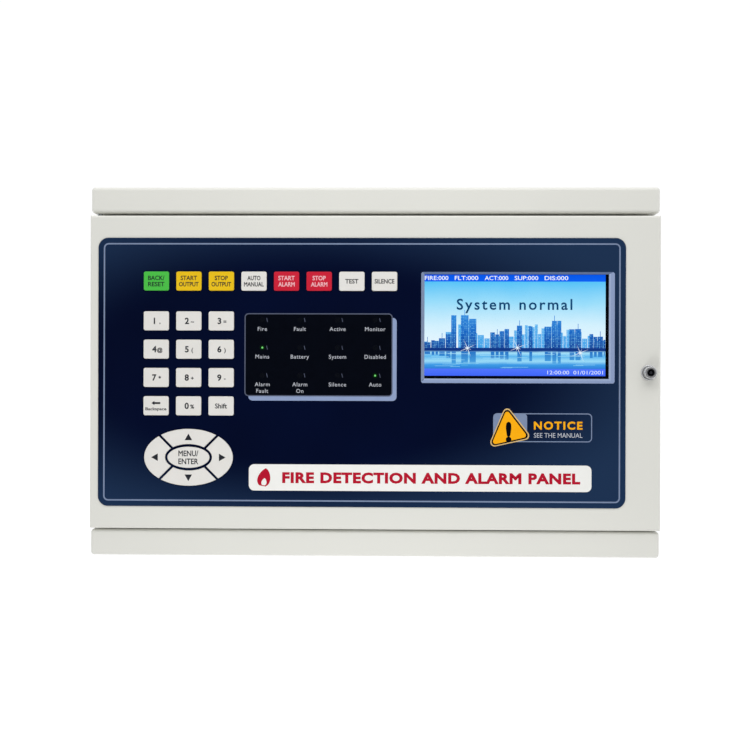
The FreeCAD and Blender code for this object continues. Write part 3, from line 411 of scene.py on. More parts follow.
black_ink = ink("screen_ink_black", "#04060d", "#070a14")
pale_ink = ink("screen_ink_pale_blue", "#8697bd", "#92a2c4")
grey_ink = ink("screen_ink_grey", "#4f556a", "#5d6478")
white_ink = ink("screen_ink_white", "#b4b8c2", "#c3c6cf")
left, right, bottom, top = BOX
shadow = rectangle(left + SHADOW_RIGHT, right + SHADOW_RIGHT, bottom - SHADOW_DOWN, top - SHADOW_DOWN,
                   BOX_ROUND)
lamp_box = rectangle(*BOX, BOX_ROUND)
overlay_print("lamp_block_shadow", [prism(shadow, *coats(0.6))], pale_ink)
overlay_print("lamp_block", [prism(lamp_box, *coats(1.4))], black_ink)
overlay_print("lamp_block_line", [ring(lamp_box, rectangle(*BOX, BOX_ROUND, BOX_LINE), *coats(2))], grey_ink)

labels, painted_glints = [], []
for row, names in enumerate(LAMP_NAMES):
    for column, name in enumerate(names):
        x, z = lamp_place(row, column)
        for n, word in enumerate(name.split("\n")):
            labels.append(letter_shape(word, on_overlay((x, z - LABEL_DROP - n * LINE_DROP)), LABEL_HIGH,
                                       FACE - INK, spread=1.12, bold=0.004))
        # The grey tick beside each lamp is a painted highlight on its window's rim, drawn as a thin flat mark.
        x += TICK_RIGHT
        glint_outline = [(x + TICK_LEAN, z - TICK_HIGH / 2), (x + TICK_LEAN + TICK_WIDE, z - TICK_HIGH / 2),
                (x + TICK_WIDE, z + TICK_HIGH / 2), (x, z + TICK_HIGH / 2)]
        painted_glints.append(prism(on_overlay(glint_outline), *coats(2)))
overlay_print("lamp_names", labels, white_ink)
overlay_print("lamp_painted_glints", painted_glints, grey_ink)


# ---------------------------------------------------------------- lamps: clear resin behind smoked film
# A window of smoked film looks black until the 3 mm lamp behind it lights. The lamps are moulded in
# clear epoxy resin. Two of them are lit green, and each makes a faint halo in its film.
LIT = ((1, 0), (2, 3))
HALO_RADIUS, SPOT_RADIUS = 2.1 * MM, 0.8 * MM
WINDOW_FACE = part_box("lamp_windows")[0].y

smoked, tree, shader = new_material("smoked_film", "#0a0d14", 0.12, IOR=1.5, Coat_Weight=0.4)
patches(tree, shader, 3.0, gloss=(0.08, 0.20))
paint_nodes(smoked, "lamp_windows")

clear_resin, tree, shader = new_material("clear_led_resin", "#d9dfd9", 0.08, IOR=1.52, Transmission_Weight=0.7)
patches(tree, shader, 1.5, gloss=(0.05, 0.2))
paint_nodes(clear_resin, "indicator_lamps")


def dome(x, z, radius, rise, base, rings=6, around=24):
    """A shallow cap with a flat back: height = rise × (1 − (distance / radius)²) over a disc in metres."""
    out = np.linspace(0, 1, rings + 1)[1:]
    turn = np.arange(around) * 2 * np.pi / around
    rows = [np.column_stack([x + radius * r * np.cos(turn), np.full(around, base - rise * (1 - r * r)),
                             z + radius * r * np.sin(turn)]) for r in out]
    points = np.concatenate([[[x, base - rise, z]], *rows])
    here, there = np.arange(around), np.roll(np.arange(around), -1)
    faces = [(0, int(a) + 1, int(b) + 1) for a, b in zip(here, there)]
    for k in range(rings - 1):
        a, b = 1 + k * around, 1 + (k + 1) * around
        faces += [(a + int(i), b + int(i), b + int(j), a + int(j)) for i, j in zip(here, there)]
    rim = 1 + (rings - 1) * around
    faces.append(tuple(int(i) + rim for i in here[::-1]))
    return points, faces


def lit_film(name, colour, edge, strength, size_mm):
    """Light from behind a thin film: it glows, a little unevenly, and has the film's own gloss."""
    made, tree, shader = new_material(name, "#020402", 0.2, IOR=1.5, Emission_Strength=strength)
    patches(tree, shader, size_mm, tones=(colour, edge), socket="Emission Color")
    return made


lit_places = [on_overlay(lamp_place(row, column)) for row, column in LIT]
lit_green = lit_film("lit_green_film", "#55d85a", "#8fe68c", 1.0, 0.8)
dim_green = lit_film("dim_green_film", "#04300c", "#06200c", 0.8, 1.5)
halos = [dome(x, z, HALO_RADIUS, 0.01 * MM, WINDOW_FACE - 0.01 * MM) for x, z in lit_places]
spots = [dome(x, z, SPOT_RADIUS, 0.05 * MM, WINDOW_FACE - 0.02 * MM) for x, z in lit_places]
piece("lit_lamp_halos", halos, dim_green, "door")
piece("lit_lamps", spots, lit_green, "door")


# ---------------------------------------------------------------- keys: moulded silicone caps
# Each key is moulded in coloured silicone, matt and slightly soft to the eye, and its legend is
# pad-printed on top. The legends ride with their keys.
KEY_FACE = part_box("key_1")[0].y
FUNCTION_KEYS = (("key_reset", "green", "BACK/\nRESET"), ("key_start_device", "yellow", "START\nOUTPUT"),
                 ("key_stop_device", "yellow", "STOP\nOUTPUT"), ("key_auto_manual", "white", "AUTO\nMANUAL"),
                 ("key_start_sounder", "red", "START\nALARM"), ("key_stop_sounder", "red", "STOP\nALARM"),
                 ("key_self_check", "white", "TEST"), ("key_silence", "white", "SILENCE"))
PAD_KEYS = (("key_1", "1", ","), ("key_2", "2", "~"), ("key_3", "3", "="), ("key_4", "4", "@"),
            ("key_5", "5", "("), ("key_6", "6", ")"), ("key_7", "7", "*"), ("key_8", "8", "+"),
            ("key_9", "9", "-"), ("key_0", "0", "%"))
NAV_KEYS = ("nav_up", "nav_down", "nav_left", "nav_right", "nav_enter")


def silicone(name, colour, paler):
    """Silicone rubber: a soft matt surface with a little light in its depth and a fine moulded grain."""
    made, tree, shader = new_material(name, colour, 0.5, IOR=1.41, Subsurface_Weight=0.08,
                                      Subsurface_Radius=(0.6 * MM, 0.5 * MM, 0.4 * MM), Subsurface_Scale=1.0)
    patches(tree, shader, 12.0, tones=(colour, paler), detail=3.0)
    grain(tree, shader, 0.4, lift=0.08, deep_mm=0.03)
    return made


rubber = {"white": silicone("white_silicone", "#dedcd7", "#e6e4e0"),
          "green": silicone("green_silicone", "#3fb83c", "#4fc24b"),
          "yellow": silicone("yellow_silicone", "#e3b800", "#ecc515"),
          "red": silicone("red_silicone", "#c30d2c", "#cf1c38")}
for node, colour, words in FUNCTION_KEYS:
    paint_nodes(rubber[colour], node)
paint_nodes(rubber["white"], "key_backspace", "key_shift", *NAV_KEYS, *[key for key, digit, mark in PAD_KEYS])

dark_print = ink("pad_print_charcoal", "#23252b", "#2e3036")
pink_print = ink("pad_print_pale_pink", "#e9b3bb", "#f0c2c8")


def key_middle(node):
    """The middle of a key's face, in metres across and up."""
    key_low, key_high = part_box(node)
    return np.array(((key_low.x + key_high.x) / 2, (key_low.z + key_high.z) / 2))


def legend(node, shapes, material=dark_print):
    """A key's legend, which rides on the key itself."""
    piece("legend_" + node, shapes, material, node)


WORD_HIGH, WORD_WIDE, LETTER_WIDE, WORD_PITCH = 3.6, 16.8, 2.8, 5.3
for node, colour, words in FUNCTION_KEYS:
    lines = words.split("\n")
    shapes = []
    for n, word in enumerate(lines):
        rise = ((len(lines) - 1) / 2 - n) * WORD_PITCH * MM
        shapes.append(letter_shape(word, key_middle(node) + (0, rise), WORD_HIGH, KEY_FACE, bold=0.022,
                                   wide=min(WORD_WIDE, LETTER_WIDE * len(word))))
    legend(node, shapes, pink_print if colour == "red" else dark_print)

DIGIT_HIGH, DIGIT_LEFT, MARK_HIGH, MARK_RIGHT, MARK_DROP = 5.0, 1.5, 3.2, 3.2, 0.6
for node, digit, mark in PAD_KEYS:
    digit_place = key_middle(node) - (DIGIT_LEFT * MM, 0)
    mark_place = key_middle(node) + (MARK_RIGHT * MM, -MARK_DROP * MM)
    legend(node, [letter_shape(digit, digit_place, DIGIT_HIGH, KEY_FACE, bold=0.03),
                  letter_shape(mark, mark_place, MARK_HIGH, KEY_FACE, bold=0.03)])
SHIFT_HIGH, BACK_HIGH, BACK_WIDE, BACK_DROP = 4.0, 2.4, 18.0, 2.6
legend("key_shift", [letter_shape("Shift", key_middle("key_shift"), SHIFT_HIGH, KEY_FACE, bold=0.02)])


def arrow_shape(place, corners):
    """A flat arrow from corners in millimetres about a middle in metres."""
    return prism(np.array(corners) * MM + place, KEY_FACE - INK, KEY_FACE + INK)


ARROW = [(-3.9, 2.3), (-1.3, 0.5), (-1.3, 1.5), (3.7, 1.5), (3.7, 3.1), (-1.3, 3.1), (-1.3, 4.1)]
back_place = key_middle("key_backspace")
legend("key_backspace", [arrow_shape(back_place, ARROW),
                         letter_shape("Backspace", back_place - (0, BACK_DROP * MM), BACK_HIGH, KEY_FACE,
                                      bold=0.02, wide=BACK_WIDE)])

nav_middle = key_middle("nav_enter")
ARROW_OUT, ARROW_LONG, ARROW_HALF = (28.9, 17.4), 5.6, 3.2
NAV_HIGH, NAV_WIDE, NAV_RISE = 4.6, 17.0, 3.4
for node, way in (("nav_up", (0, 1)), ("nav_down", (0, -1)), ("nav_left", (-1, 0)), ("nav_right", (1, 0))):
    tip = np.array(way) * ARROW_LONG / 2
    side = np.array((-way[1], way[0])) * ARROW_HALF
    place = nav_middle + np.array(way) * ARROW_OUT * MM
    legend(node, [arrow_shape(place, [tip, side - tip, -side - tip])])
legend("nav_enter", [letter_shape(word, nav_middle + (0, rise * MM), NAV_HIGH, KEY_FACE, wide=NAV_WIDE,
                                  bold=0.018)
                     for word, rise in (("MENU/", NAV_RISE), ("ENTER", -NAV_RISE))])


# ---------------------------------------------------------------- display: printed frame and pane
# The overlay prints a bevelled frame in four blues round the opening, and a clear polycarbonate pane
# lies behind it. The screen itself is a backlit colour panel behind dark glass.
frame_left, frame_right, frame_bottom, frame_top = 51.1, 214.65, -8.7, 85.5
in_left, in_right, in_bottom, in_top = 53.9, 209.7, -4.9, 83.5
CORNER_CUT, LIP_WIDE = 1.2, 1.7
lip_left, lip_right = in_left - LIP_WIDE * 0.5, in_right + LIP_WIDE
lip_bottom, lip_top = in_bottom - LIP_WIDE * 0.8, in_top + LIP_WIDE * 0.5
cut_left, cut_right = frame_left + CORNER_CUT, frame_right - CORNER_CUT
cut_bottom, cut_top = frame_bottom + CORNER_CUT, frame_top - CORNER_CUT

shade_ink = ink("screen_ink_slate", "#5b6b8d", "#66779a")
light_ink = ink("screen_ink_light_blue", "#96a7c8", "#a1b1d0")
top_band = [(cut_left, frame_top), (in_left, in_top), (in_right, in_top), (cut_right, frame_top)]
left_band = [(frame_left, cut_bottom), (in_left, in_bottom), (in_left, in_top), (cut_left, frame_top),
             (frame_left, cut_top)]
right_band = [(lip_right, lip_bottom), (frame_right, cut_bottom), (frame_right, cut_top),
              (cut_right, frame_top), (lip_right, lip_top)]
bottom_band = [(frame_left, cut_bottom), (cut_left, frame_bottom), (cut_right, frame_bottom),
               (frame_right, cut_bottom), (lip_right, lip_bottom), (lip_left, lip_bottom)]
right_lip = [(in_right, in_bottom), (lip_right, lip_bottom), (lip_right, lip_top), (in_right, in_top)]
bottom_lip = [(lip_left, lip_bottom), (lip_right, lip_bottom), (in_right, in_bottom), (in_left, in_bottom)]
for side, bands, material in (("top", [top_band], shade_ink), ("left", [left_band], blue_grey_ink),
                              ("right", [right_band, bottom_band], pale_ink),
                              ("inner", [right_lip, bottom_lip], light_ink)):
    overlay_print("display_frame_" + side, [prism(on_overlay(band), *coats(1)) for band in bands], material)

# Clear polycarbonate: the screen shows through it unchanged, under a thin glossy reflection.
clear, tree, shader = new_material("clear_polycarbonate", "#000000", 0.02, IOR=1.3)
patches(tree, shader, 40.0, gloss=(0.015, 0.06))
through = add_node(tree, "ShaderNodeBsdfTransparent", {"Color": (0.97, 0.98, 1.0, 1)})
both = add_node(tree, "ShaderNodeAddShader", {0: through.outputs[0], 1: shader.outputs[0]})
output = next(node for node in tree.nodes if node.type == "OUTPUT_MATERIAL")
tree.links.new(both.outputs[0], output.inputs["Surface"])
paint_nodes(clear, "display_window")

# The panel's glass where it isn't lit: black, smooth, with a faint haze.
off_glass, tree, shader = new_material("display_glass_black", "#05070c", 0.1, IOR=1.5)
patches(tree, shader, 50.0, gloss=(0.06, 0.14))
paint_nodes(off_glass, "display_glass")


# ---------------------------------------------------------------- screen: what the display shows
# A 7-inch colour panel with its backlight on. The picture is a plain drawn skyline at a waterside,
# under a status bar. It is built as thin glowing layers just in front of the glass.
GLASS_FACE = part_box("display_glass")[0].y
LAYER = 0.03 * MM
SCREEN_LEFT, SCREEN_RIGHT, SCREEN_BOTTOM, SCREEN_TOP = 53.9, 207.4, -2.5, 83.5
BAR_BOTTOM, CLOCK_TOP, HORIZON = 77.6, 3.6, 20.5


def flat_coords(tree):
    """Object coordinates of a face that looks forwards, as (x, z, 0) in millimetres."""
    place = add_node(tree, "ShaderNodeTexCoord")
    metres = add_node(tree, "ShaderNodeSeparateXYZ", {0: place.outputs["Object"]})
    x, z = [add_node(tree, "ShaderNodeMath", {0: metres.outputs[axis], 1: 1 / MM}, operation="MULTIPLY")
            for axis in "XZ"]
    return add_node(tree, "ShaderNodeCombineXYZ", {"X": x.outputs[0], "Y": z.outputs[0]}).outputs[0]


def backlit(name, stops, low_z, high_z, windows=None):
    """A backlit part of the screen: colours that run up between two heights, with the panel's faint
    unevenness, and rows of bright windows if asked for. Each stop is a share of the height and a colour."""
    made, tree, shader = new_material(name, "#010102", 0.3, Specular_IOR_Level=0.1, Emission_Strength=1.0)
    vector = flat_coords(tree)
    split = add_node(tree, "ShaderNodeSeparateXYZ", {0: vector})
    up = add_node(tree, "ShaderNodeMapRange", {"Value": split.outputs["Y"], "From Min": OVERLAY_Z / MM + low_z,
                                               "From Max": OVERLAY_Z / MM + high_z})
    cloud = add_node(tree, "ShaderNodeTexNoise", {"Vector": vector, "Scale": 0.04, "Detail": 2.0})
    uneven = add_node(tree, "ShaderNodeMapRange", {"Value": cloud.outputs["Fac"], "To Min": -0.05,
                                                   "To Max": 0.05})
    shifted = add_node(tree, "ShaderNodeMath", {0: up.outputs[0], 1: uneven.outputs[0]}, operation="ADD")
    ramp = add_node(tree, "ShaderNodeValToRGB", {0: shifted.outputs[0]})
    fill_ramp(ramp, [(share, linear(colour)) for share, colour in stops])
    colour = ramp.outputs[0]
    if windows:
        rows = add_node(tree, "ShaderNodeTexBrick", {"Vector": vector, "Scale": 1.0, "Mortar Size": 0.34,
                                                     "Brick Width": 1.5, "Row Height": 1.35}, offset=0.0)
        for socket, tone in (("Color1", "#000000"), ("Color2", "#ffffff"), ("Mortar", "#000000")):
            rows.inputs[socket].default_value = linear(tone)
        share = add_node(tree, "ShaderNodeMath", {0: rows.outputs["Color"], 1: 0.75}, operation="MULTIPLY")
        lit = add_node(tree, "ShaderNodeMix", {SHARE: share.outputs[0], FIRST: colour, SECOND: linear(windows)},
                       data_type="RGBA")
        colour = lit.outputs[MIXED]
    tree.links.new(colour, shader.inputs["Emission Color"])
    return made


def screen_sheet(name, outlines, layer, material):
    """Flat shapes on the screen, from outlines in millimetres, at a layer counted from the glass."""
    front, back = GLASS_FACE - layer * LAYER, GLASS_FACE - (layer - 1) * LAYER
    piece(name, [prism(on_overlay(outline), front, back) for outline in outlines], material, "door")


def square(left, right, bottom, top):
    """A rectangle's four corners, anticlockwise."""
    return [(left, bottom), (right, bottom), (right, top), (left, top)]


def strip(bottom, top):
    """A rectangle across the whole screen."""
    return square(SCREEN_LEFT, SCREEN_RIGHT, bottom, top)


sky = backlit("lit_sky", [(0.0, "#f1fcff"), (0.35, "#d8f5fe"), (0.68, "#9fe2fb"), (1.0, "#56c6f7")],
              HORIZON, BAR_BOTTOM)
water = backlit("lit_water", [(0.0, "#2f7fd8"), (0.2, "#3f9fe6"), (0.38, "#9fe0f8"), (0.62, "#5cb8ee"),
                              (0.80, "#a9e6fa"), (0.90, "#1a4f9c"), (1.0, "#1e5cb0")], CLOCK_TOP, HORIZON)
bar = backlit("lit_status_bar", [(0.0, "#0a62f4"), (1.0, "#0558e8")], BAR_BOTTOM, SCREEN_TOP)
clock_bar = backlit("lit_clock_bar", [(0.0, "#4068f8"), (1.0, "#5378fd")], SCREEN_BOTTOM, CLOCK_TOP)
screen_sheet("screen_sky", [strip(HORIZON, BAR_BOTTOM)], 1, sky)
screen_sheet("screen_water", [strip(CLOCK_TOP, HORIZON)], 1, water)
screen_sheet("screen_status_bar", [strip(BAR_BOTTOM, SCREEN_TOP)], 1, bar)
screen_sheet("screen_clock_bar", [strip(SCREEN_BOTTOM, CLOCK_TOP)], 1, clock_bar)

PEAK_HIGH, PEAK_AT, PEAK_SPREAD, SECOND_PEAK, SECOND_AT, SECOND_SPREAD = 30.0, 84.0, 13.0, 22.0, 150.0, 39.0
TOWER_FILL, LOWEST_HILL, SHORTEST = 0.92, 0.12, 0.45
dice = np.random.default_rng(11)


def skyline(lowest, tallest, widths, share):
    """Towers side by side along the horizon, some left out by a throw of dice. Each one's height is a
    throw times two hills: a tall one near the left, and a lower and wider one right of the middle."""
    towers, x = [], SCREEN_LEFT
    while x < SCREEN_RIGHT:
        wide = min(dice.uniform(*widths), SCREEN_RIGHT - x)
        hill = PEAK_HIGH * math.exp(-((x - PEAK_AT) / PEAK_SPREAD) ** 2)
        hill += SECOND_PEAK * math.exp(-((x - SECOND_AT) / SECOND_SPREAD) ** 2)
        high = lowest + tallest * dice.uniform(SHORTEST, 1.0) * min(1.0, hill / PEAK_HIGH + LOWEST_HILL)
        if dice.random() < share:
            towers.append((x, x + wide * TOWER_FILL, HORIZON + high))
        x += wide
    return towers


MAST_HALF, MAST_HIGH, SKY_LINE = 0.25, 4.5, 50
far_towers = skyline(4.0, 22.0, (2.6, 6.0), 0.92)
near_towers = skyline(3.5, 30.0, (3.0, 7.5), 0.74)
far_blue = backlit("lit_far_towers", [(0.0, "#3fa3e8"), (1.0, "#62bdf2")], HORIZON, SKY_LINE, "#c8f0fd")
near_blue = backlit("lit_near_towers", [(0.0, "#0f3f96"), (0.5, "#1668c4"), (1.0, "#2f8ade")], HORIZON,
                    SKY_LINE, "#7fd2f8")
shore_blue = backlit("lit_shore", [(0.0, "#0e2f78"), (1.0, "#14459a")], HORIZON - 2, HORIZON + 3)
near_shapes = [square(a, b, HORIZON, top) for a, b, top in near_towers]
near_shapes += [square((a + b) / 2 - MAST_HALF, (a + b) / 2 + MAST_HALF, top, top + MAST_HIGH)
                for a, b, top in near_towers[::3]]
screen_sheet("screen_far_towers", [square(a, b, HORIZON, top) for a, b, top in far_towers], 2, far_blue)
screen_sheet("screen_near_towers", near_shapes, 3, near_blue)
screen_sheet("screen_shore", [strip(HORIZON - 1.6, HORIZON + 0.8)], 4, shore_blue)

MIRRORED, MIRROR_INSET, MIRROR_TOP = 0.42, 0.4, HORIZON - 2.4
RIPPLES, RIPPLE_LONG, RIPPLE_HIGH, RIPPLE_FIRST, RIPPLE_BAND = 26, (8, 24), 0.3, CLOCK_TOP + 0.6, 13.4
mirror = backlit("lit_reflections", [(0.0, "#55b4ec"), (1.0, "#1d69bf")], CLOCK_TOP, HORIZON)
ripple = backlit("lit_ripples", [(0.0, "#8fd8f6"), (1.0, "#b9ecfb")], CLOCK_TOP, HORIZON)
mirrored = [square(a + MIRROR_INSET, b - MIRROR_INSET, max(MIRROR_TOP - (top - HORIZON) * MIRRORED, CLOCK_TOP),
                   MIRROR_TOP) for a, b, top in near_towers]
ripples = []
for n in range(RIPPLES):
    start = dice.uniform(SCREEN_LEFT, SCREEN_RIGHT - RIPPLE_LONG[1])
    z = RIPPLE_FIRST + RIPPLE_BAND * n / RIPPLES
    ripples.append(square(start, start + dice.uniform(*RIPPLE_LONG), z, z + RIPPLE_HIGH))
screen_sheet("screen_reflections", mirrored, 2, mirror)
screen_sheet("screen_ripples", ripples, 3, ripple)

RAY_LONG, RAY_SHORT, RAY_ROOT = 8.0, 3.6, 0.65
SPARKLES = ((90.5, 21.0), (132.9, 21.4), (186.0, 17.2))


def sparkle(x, z):
    """A star of eight rays, long and short by turns, from corners about a middle in millimetres."""
    n = np.arange(16)
    radius = np.where(n % 2 == 1, RAY_ROOT, np.where(n % 4 == 0, RAY_LONG, RAY_SHORT))
    turn = (n + 1) * np.pi / 8
    return np.column_stack([x + radius * np.cos(turn), z + radius * np.sin(turn)])


glint = backlit("lit_glints", [(0.0, "#ffffff"), (1.0, "#f4fdff")], CLOCK_TOP, HORIZON)
screen_sheet("screen_glints", [sparkle(x, z) for x, z in SPARKLES], 5, glint)

STATUS_AT, STATUS_HIGH, STATUS_WIDE = (130.3, 58.3), 9.0, 98.0
COUNTS, FIRST_COUNT, COUNT_PITCH = ("FIRE", "FLT", "ACT", "SUP", "DIS"), (64.2, 80.6), 25.4
COUNT_HIGH, COUNT_WIDE = 3.4, 20.0
CLOCK_AT, CLOCK_HIGH, CLOCK_WIDE = (181.8, 0.5), 3.1, 47.0
TEXT_FRONT = GLASS_FACE - 6 * LAYER
status_ink = backlit("lit_status_words", [(0.0, "#0a4068"), (1.0, "#0f4d7a")], 50, 66)
white_glow = backlit("lit_white_words", [(0.0, "#e8f2ff"), (1.0, "#f6fbff")], SCREEN_BOTTOM, SCREEN_TOP)
status = letter_shape("System normal", on_overlay(STATUS_AT), STATUS_HIGH, TEXT_FRONT, wide=STATUS_WIDE,
                      spread=1.25, bold=0.016, back=LAYER)
counts = [letter_shape(word + ":000", on_overlay((FIRST_COUNT[0] + n * COUNT_PITCH, FIRST_COUNT[1])),
                       COUNT_HIGH, TEXT_FRONT, wide=COUNT_WIDE, bold=0.01, back=LAYER)
          for n, word in enumerate(COUNTS)]
counts.append(letter_shape("12:00:00  01/01/2001", on_overlay(CLOCK_AT), CLOCK_HIGH, TEXT_FRONT,
                           wide=CLOCK_WIDE, back=LAYER))
piece("screen_status_words", [status], status_ink, "door")
piece("screen_small_words", counts, white_glow, "door")


# ---------------------------------------------------------------- title strip: printed plate
# A white rounded strip printed along the foot of the overlay, with the panel's plain title and a
# flame in red.
STRIP, STRIP_ROUND = (-95.0, 195.4, -100.6, -78.2), 4.5
TITLE_AT, TITLE_HIGH, TITLE_WIDE = (59.7, -89.5), 8.2, 252.5
FLAME_X, FLAME_Z, FLAME_HALF, FLAME_HIGH = -82.6, -97.2, 6.6, 15.6
plate_ink = ink("screen_ink_warm_white", "#e9e9e5", "#f1f1ee")
red_ink = ink("screen_ink_red", "#ac1229", "#b81e35")
title = letter_shape("FIRE DETECTION AND ALARM PANEL", on_overlay(TITLE_AT), TITLE_HIGH, FACE - INK,
                     wide=TITLE_WIDE, spread=1.1, bold=0.048)
overlay_print("title_strip", [prism(rectangle(*STRIP, STRIP_ROUND), *coats(1))], plate_ink)
overlay_print("title_words", [title], red_ink)


def flat_sheet(outlines, front, back):
    """A closed flat shape cut from closed outlines, in metres: an outline inside another is a hole."""
    curve = bpy.data.curves.new("sheet", "CURVE")
    curve.dimensions = "2D"
    curve.fill_mode = "BOTH"
    for outline in outlines:
        spline = curve.splines.new("POLY")
        spline.points.add(len(outline) - 1)
        spline.use_cyclic_u = True
        spline.points.foreach_set("co", np.column_stack([outline, outline * 0 + (0, 1)]).ravel())
    flat, faces = filled(curve)
    return np.column_stack([flat[:, 0], np.where(flat[:, 2] > 0, front, back), flat[:, 1]]), faces


def flame(scale, lean):
    """A flame's outline, up one side and down the other: across = half width × 1.9 × √(up + 0.02) ×
    (1 − up)^0.75, leaning over by the lean times up², where up runs from 0 to 1."""
    up = np.concatenate([np.linspace(0, 1, 16), np.linspace(1, 0, 16)[1:-1]])
    side = np.concatenate([np.ones(16), -np.ones(14)])
    swell = 1.9 * np.sqrt(up + 0.02) * (1 - up) ** 0.75
    x = FLAME_X + side * FLAME_HALF * scale * swell + lean * up ** 2 * scale
    return on_overlay(np.column_stack([x, FLAME_Z + FLAME_HIGH * scale * up]))


heart = flame(0.40, 1.5) + (0.4 * MM, 0.9 * MM)
overlay_print("title_flame", [flat_sheet([flame(1.0, 2.2), heart], *coats(2.2))], red_ink)


# ---------------------------------------------------------------- notice: printed outline and triangle
# A small outlined box with a general notice. An amber triangle with a dark edge and a cream rim
# overlaps its left end.
NOTE, NOTE_LINE, NOTE_ROUND = (112.3, 195.8, -58.5, -34.1), 0.8, 3.5
BLOCK, BLOCK_ROUND = (NOTE[0], 141.0, -53.0, NOTE[3]), 3.4
TRIANGLE, TRIANGLE_ROUND = np.array([(107.5, -63.8), (145.6, -55.3), (123.2, -26.6)]), 3.6
EDGE_IN, FACE_IN = 0.9, 2.1
MARK_AT, MARK_TALL = (125.4, -50.0), 15.0
WORDS_X, NOTICE_Z, NOTICE_HIGH, ADVICE_Z, ADVICE_HIGH, NOTICE_WIDE = 167.2, -44.4, 6.2, -52.7, 3.9, 41.0
amber_ink = ink("screen_ink_amber", "#f7a70c", "#fbb41c")
cream_ink = ink("screen_ink_cream", "#d3b177", "#dabb84")


def triangle(inset):
    """The triangle's outline with rounded corners, moved in from its cream rim by the inset."""
    centre = TRIANGLE.mean(axis=0)
    reach = np.linalg.norm(TRIANGLE - centre, axis=1)[:, None]
    corners = TRIANGLE + (centre - TRIANGLE) / reach * 2 * inset
    return on_overlay(rounded_outline(corners, TRIANGLE_ROUND - inset * 0.7))


note_out, note_in = [rectangle(*NOTE, NOTE_ROUND, inset) for inset in (0.0, NOTE_LINE)]
mark = letter_shape("!", on_overlay(MARK_AT), MARK_TALL, FACE - 1.6 * INK, bold=0.05)
notice = letter_shape("NOTICE", on_overlay((WORDS_X, NOTICE_Z)), NOTICE_HIGH, FACE - INK, wide=NOTICE_WIDE,
                      spread=1.25, bold=0.035)
advice = letter_shape("SEE THE MANUAL", on_overlay((WORDS_X, ADVICE_Z)), ADVICE_HIGH, FACE - INK,
                      wide=NOTICE_WIDE)
overlay_print("notice_outline", [ring(note_out, note_in, *coats(1))], blue_grey_ink)
overlay_print("notice_block", [prism(rectangle(*BLOCK, BLOCK_ROUND), *coats(0.8))], blue_grey_ink)
overlay_print("notice_rim", [prism(triangle(0), *coats(1.4))], cream_ink)
overlay_print("notice_edge", [prism(triangle(EDGE_IN), *coats(1.8))], black_ink)
overlay_print("notice_triangle", [prism(triangle(FACE_IN), *coats(2.2))], amber_ink)
overlay_print("notice_mark", [mark], black_ink)
overlay_print("notice_title", [notice], amber_ink)
overlay_print("notice_words", [advice], white_ink)


# ---------------------------------------------------------------- lock: chrome on brass
# A small tubular cam lock. Its flange and nose are turned brass under satin chrome. Its core is plated
# # dark, and painted shade darkens its keyway and crevices.
def lock_metal(name, colour, painted_shade_colour, smooth, rough):
    """Plated brass: the metal, dulled by wear in 2 mm patches, with painted shade darkening it in its corners.
    """
    made, tree, shader = new_material(name, colour, smooth, Metallic=1.0)
    patches(tree, shader, 2.0, gloss=(smooth, rough), detail=3.0)
    # Painted shade: ambient occlusion mixes the colour towards a dark tone in corners and crevices.
    shade_occlusion = add_node(tree, "ShaderNodeAmbientOcclusion", {"Distance": 1.4 * MM, "Color": (1, 1, 1, 1)},
                       samples=8)
    painted_shade = add_node(tree, "ShaderNodeMix", {SHARE: shade_occlusion.outputs["AO"], FIRST: linear(painted_shade_colour),
                                            SECOND: linear(colour)}, data_type="RGBA")
    tree.links.new(painted_shade.outputs[MIXED], shader.inputs["Base Color"])
    return made


# Satin chrome: a bright cool grey that spreads its highlights.
chrome = lock_metal("satin_chromed_brass", "#d2d3d5", "#4a4844", 0.36, 0.5)
# Black nickel: the same brass under a much darker plate, so the core reads as a dark disc.
black_nickel = lock_metal("black_nickel_brass", "#5a5c66", "#15151a", 0.3, 0.45)
paint_nodes(chrome, "lock_barrel")
paint_nodes(black_nickel, "lock_plug")


# ---------------------------------------------------------------- steel fittings: plated sheet and screws
# Chassis plate, straps, screws, nuts, pins and cam are mild steel, zinc plated and passivated. The
# supply's case and the display's tray are bright galvanised sheet.
def plated(name, colour, paler, smooth, rough, size_mm, crystals=False):
    """Plated metal: its tone and gloss drift together in patches of about the given size."""
    made, tree, shader = new_material(name, colour, smooth, Metallic=1.0)
    patches(tree, shader, size_mm, tones=(colour, paler), gloss=(smooth, rough), crystals=crystals)
    return made


# Zinc plate: cool and slightly blue, half matt, with soft cloudy patches from the plating bath.
zinc = plated("zinc_plated_steel", "#a9aeb3", "#c3c8cc", 0.30, 0.48, 15.0)
# Galvanised sheet: a frosty spangle of crystals about 6 mm across.
galvanised = plated("galvanised_steel", "#a3a7aa", "#c6cacc", 0.34, 0.50, 6.0, crystals=True)
# Turned brass: warm yellow, satin from the lathe.
brass = plated("turned_brass", "#b8923f", "#caa555", 0.26, 0.42, 3.0)
# Tinned brass: bright grey tabs with faint smears from the tin bath.
tinned = plated("tinned_brass", "#bdbcb4", "#cfcec8", 0.22, 0.38, 3.0)
paint_nodes(zinc, "chassis_plate", "battery_bracket", "display_brackets", "board_screws", "door_nuts",
            "lock_nut", "earth_stud", "lock_cam", "hinge_pins")
paint_nodes(galvanised, "power_supply", "display_frame")
paint_nodes(brass, "standoffs")
paint_nodes(tinned, "battery_tabs")


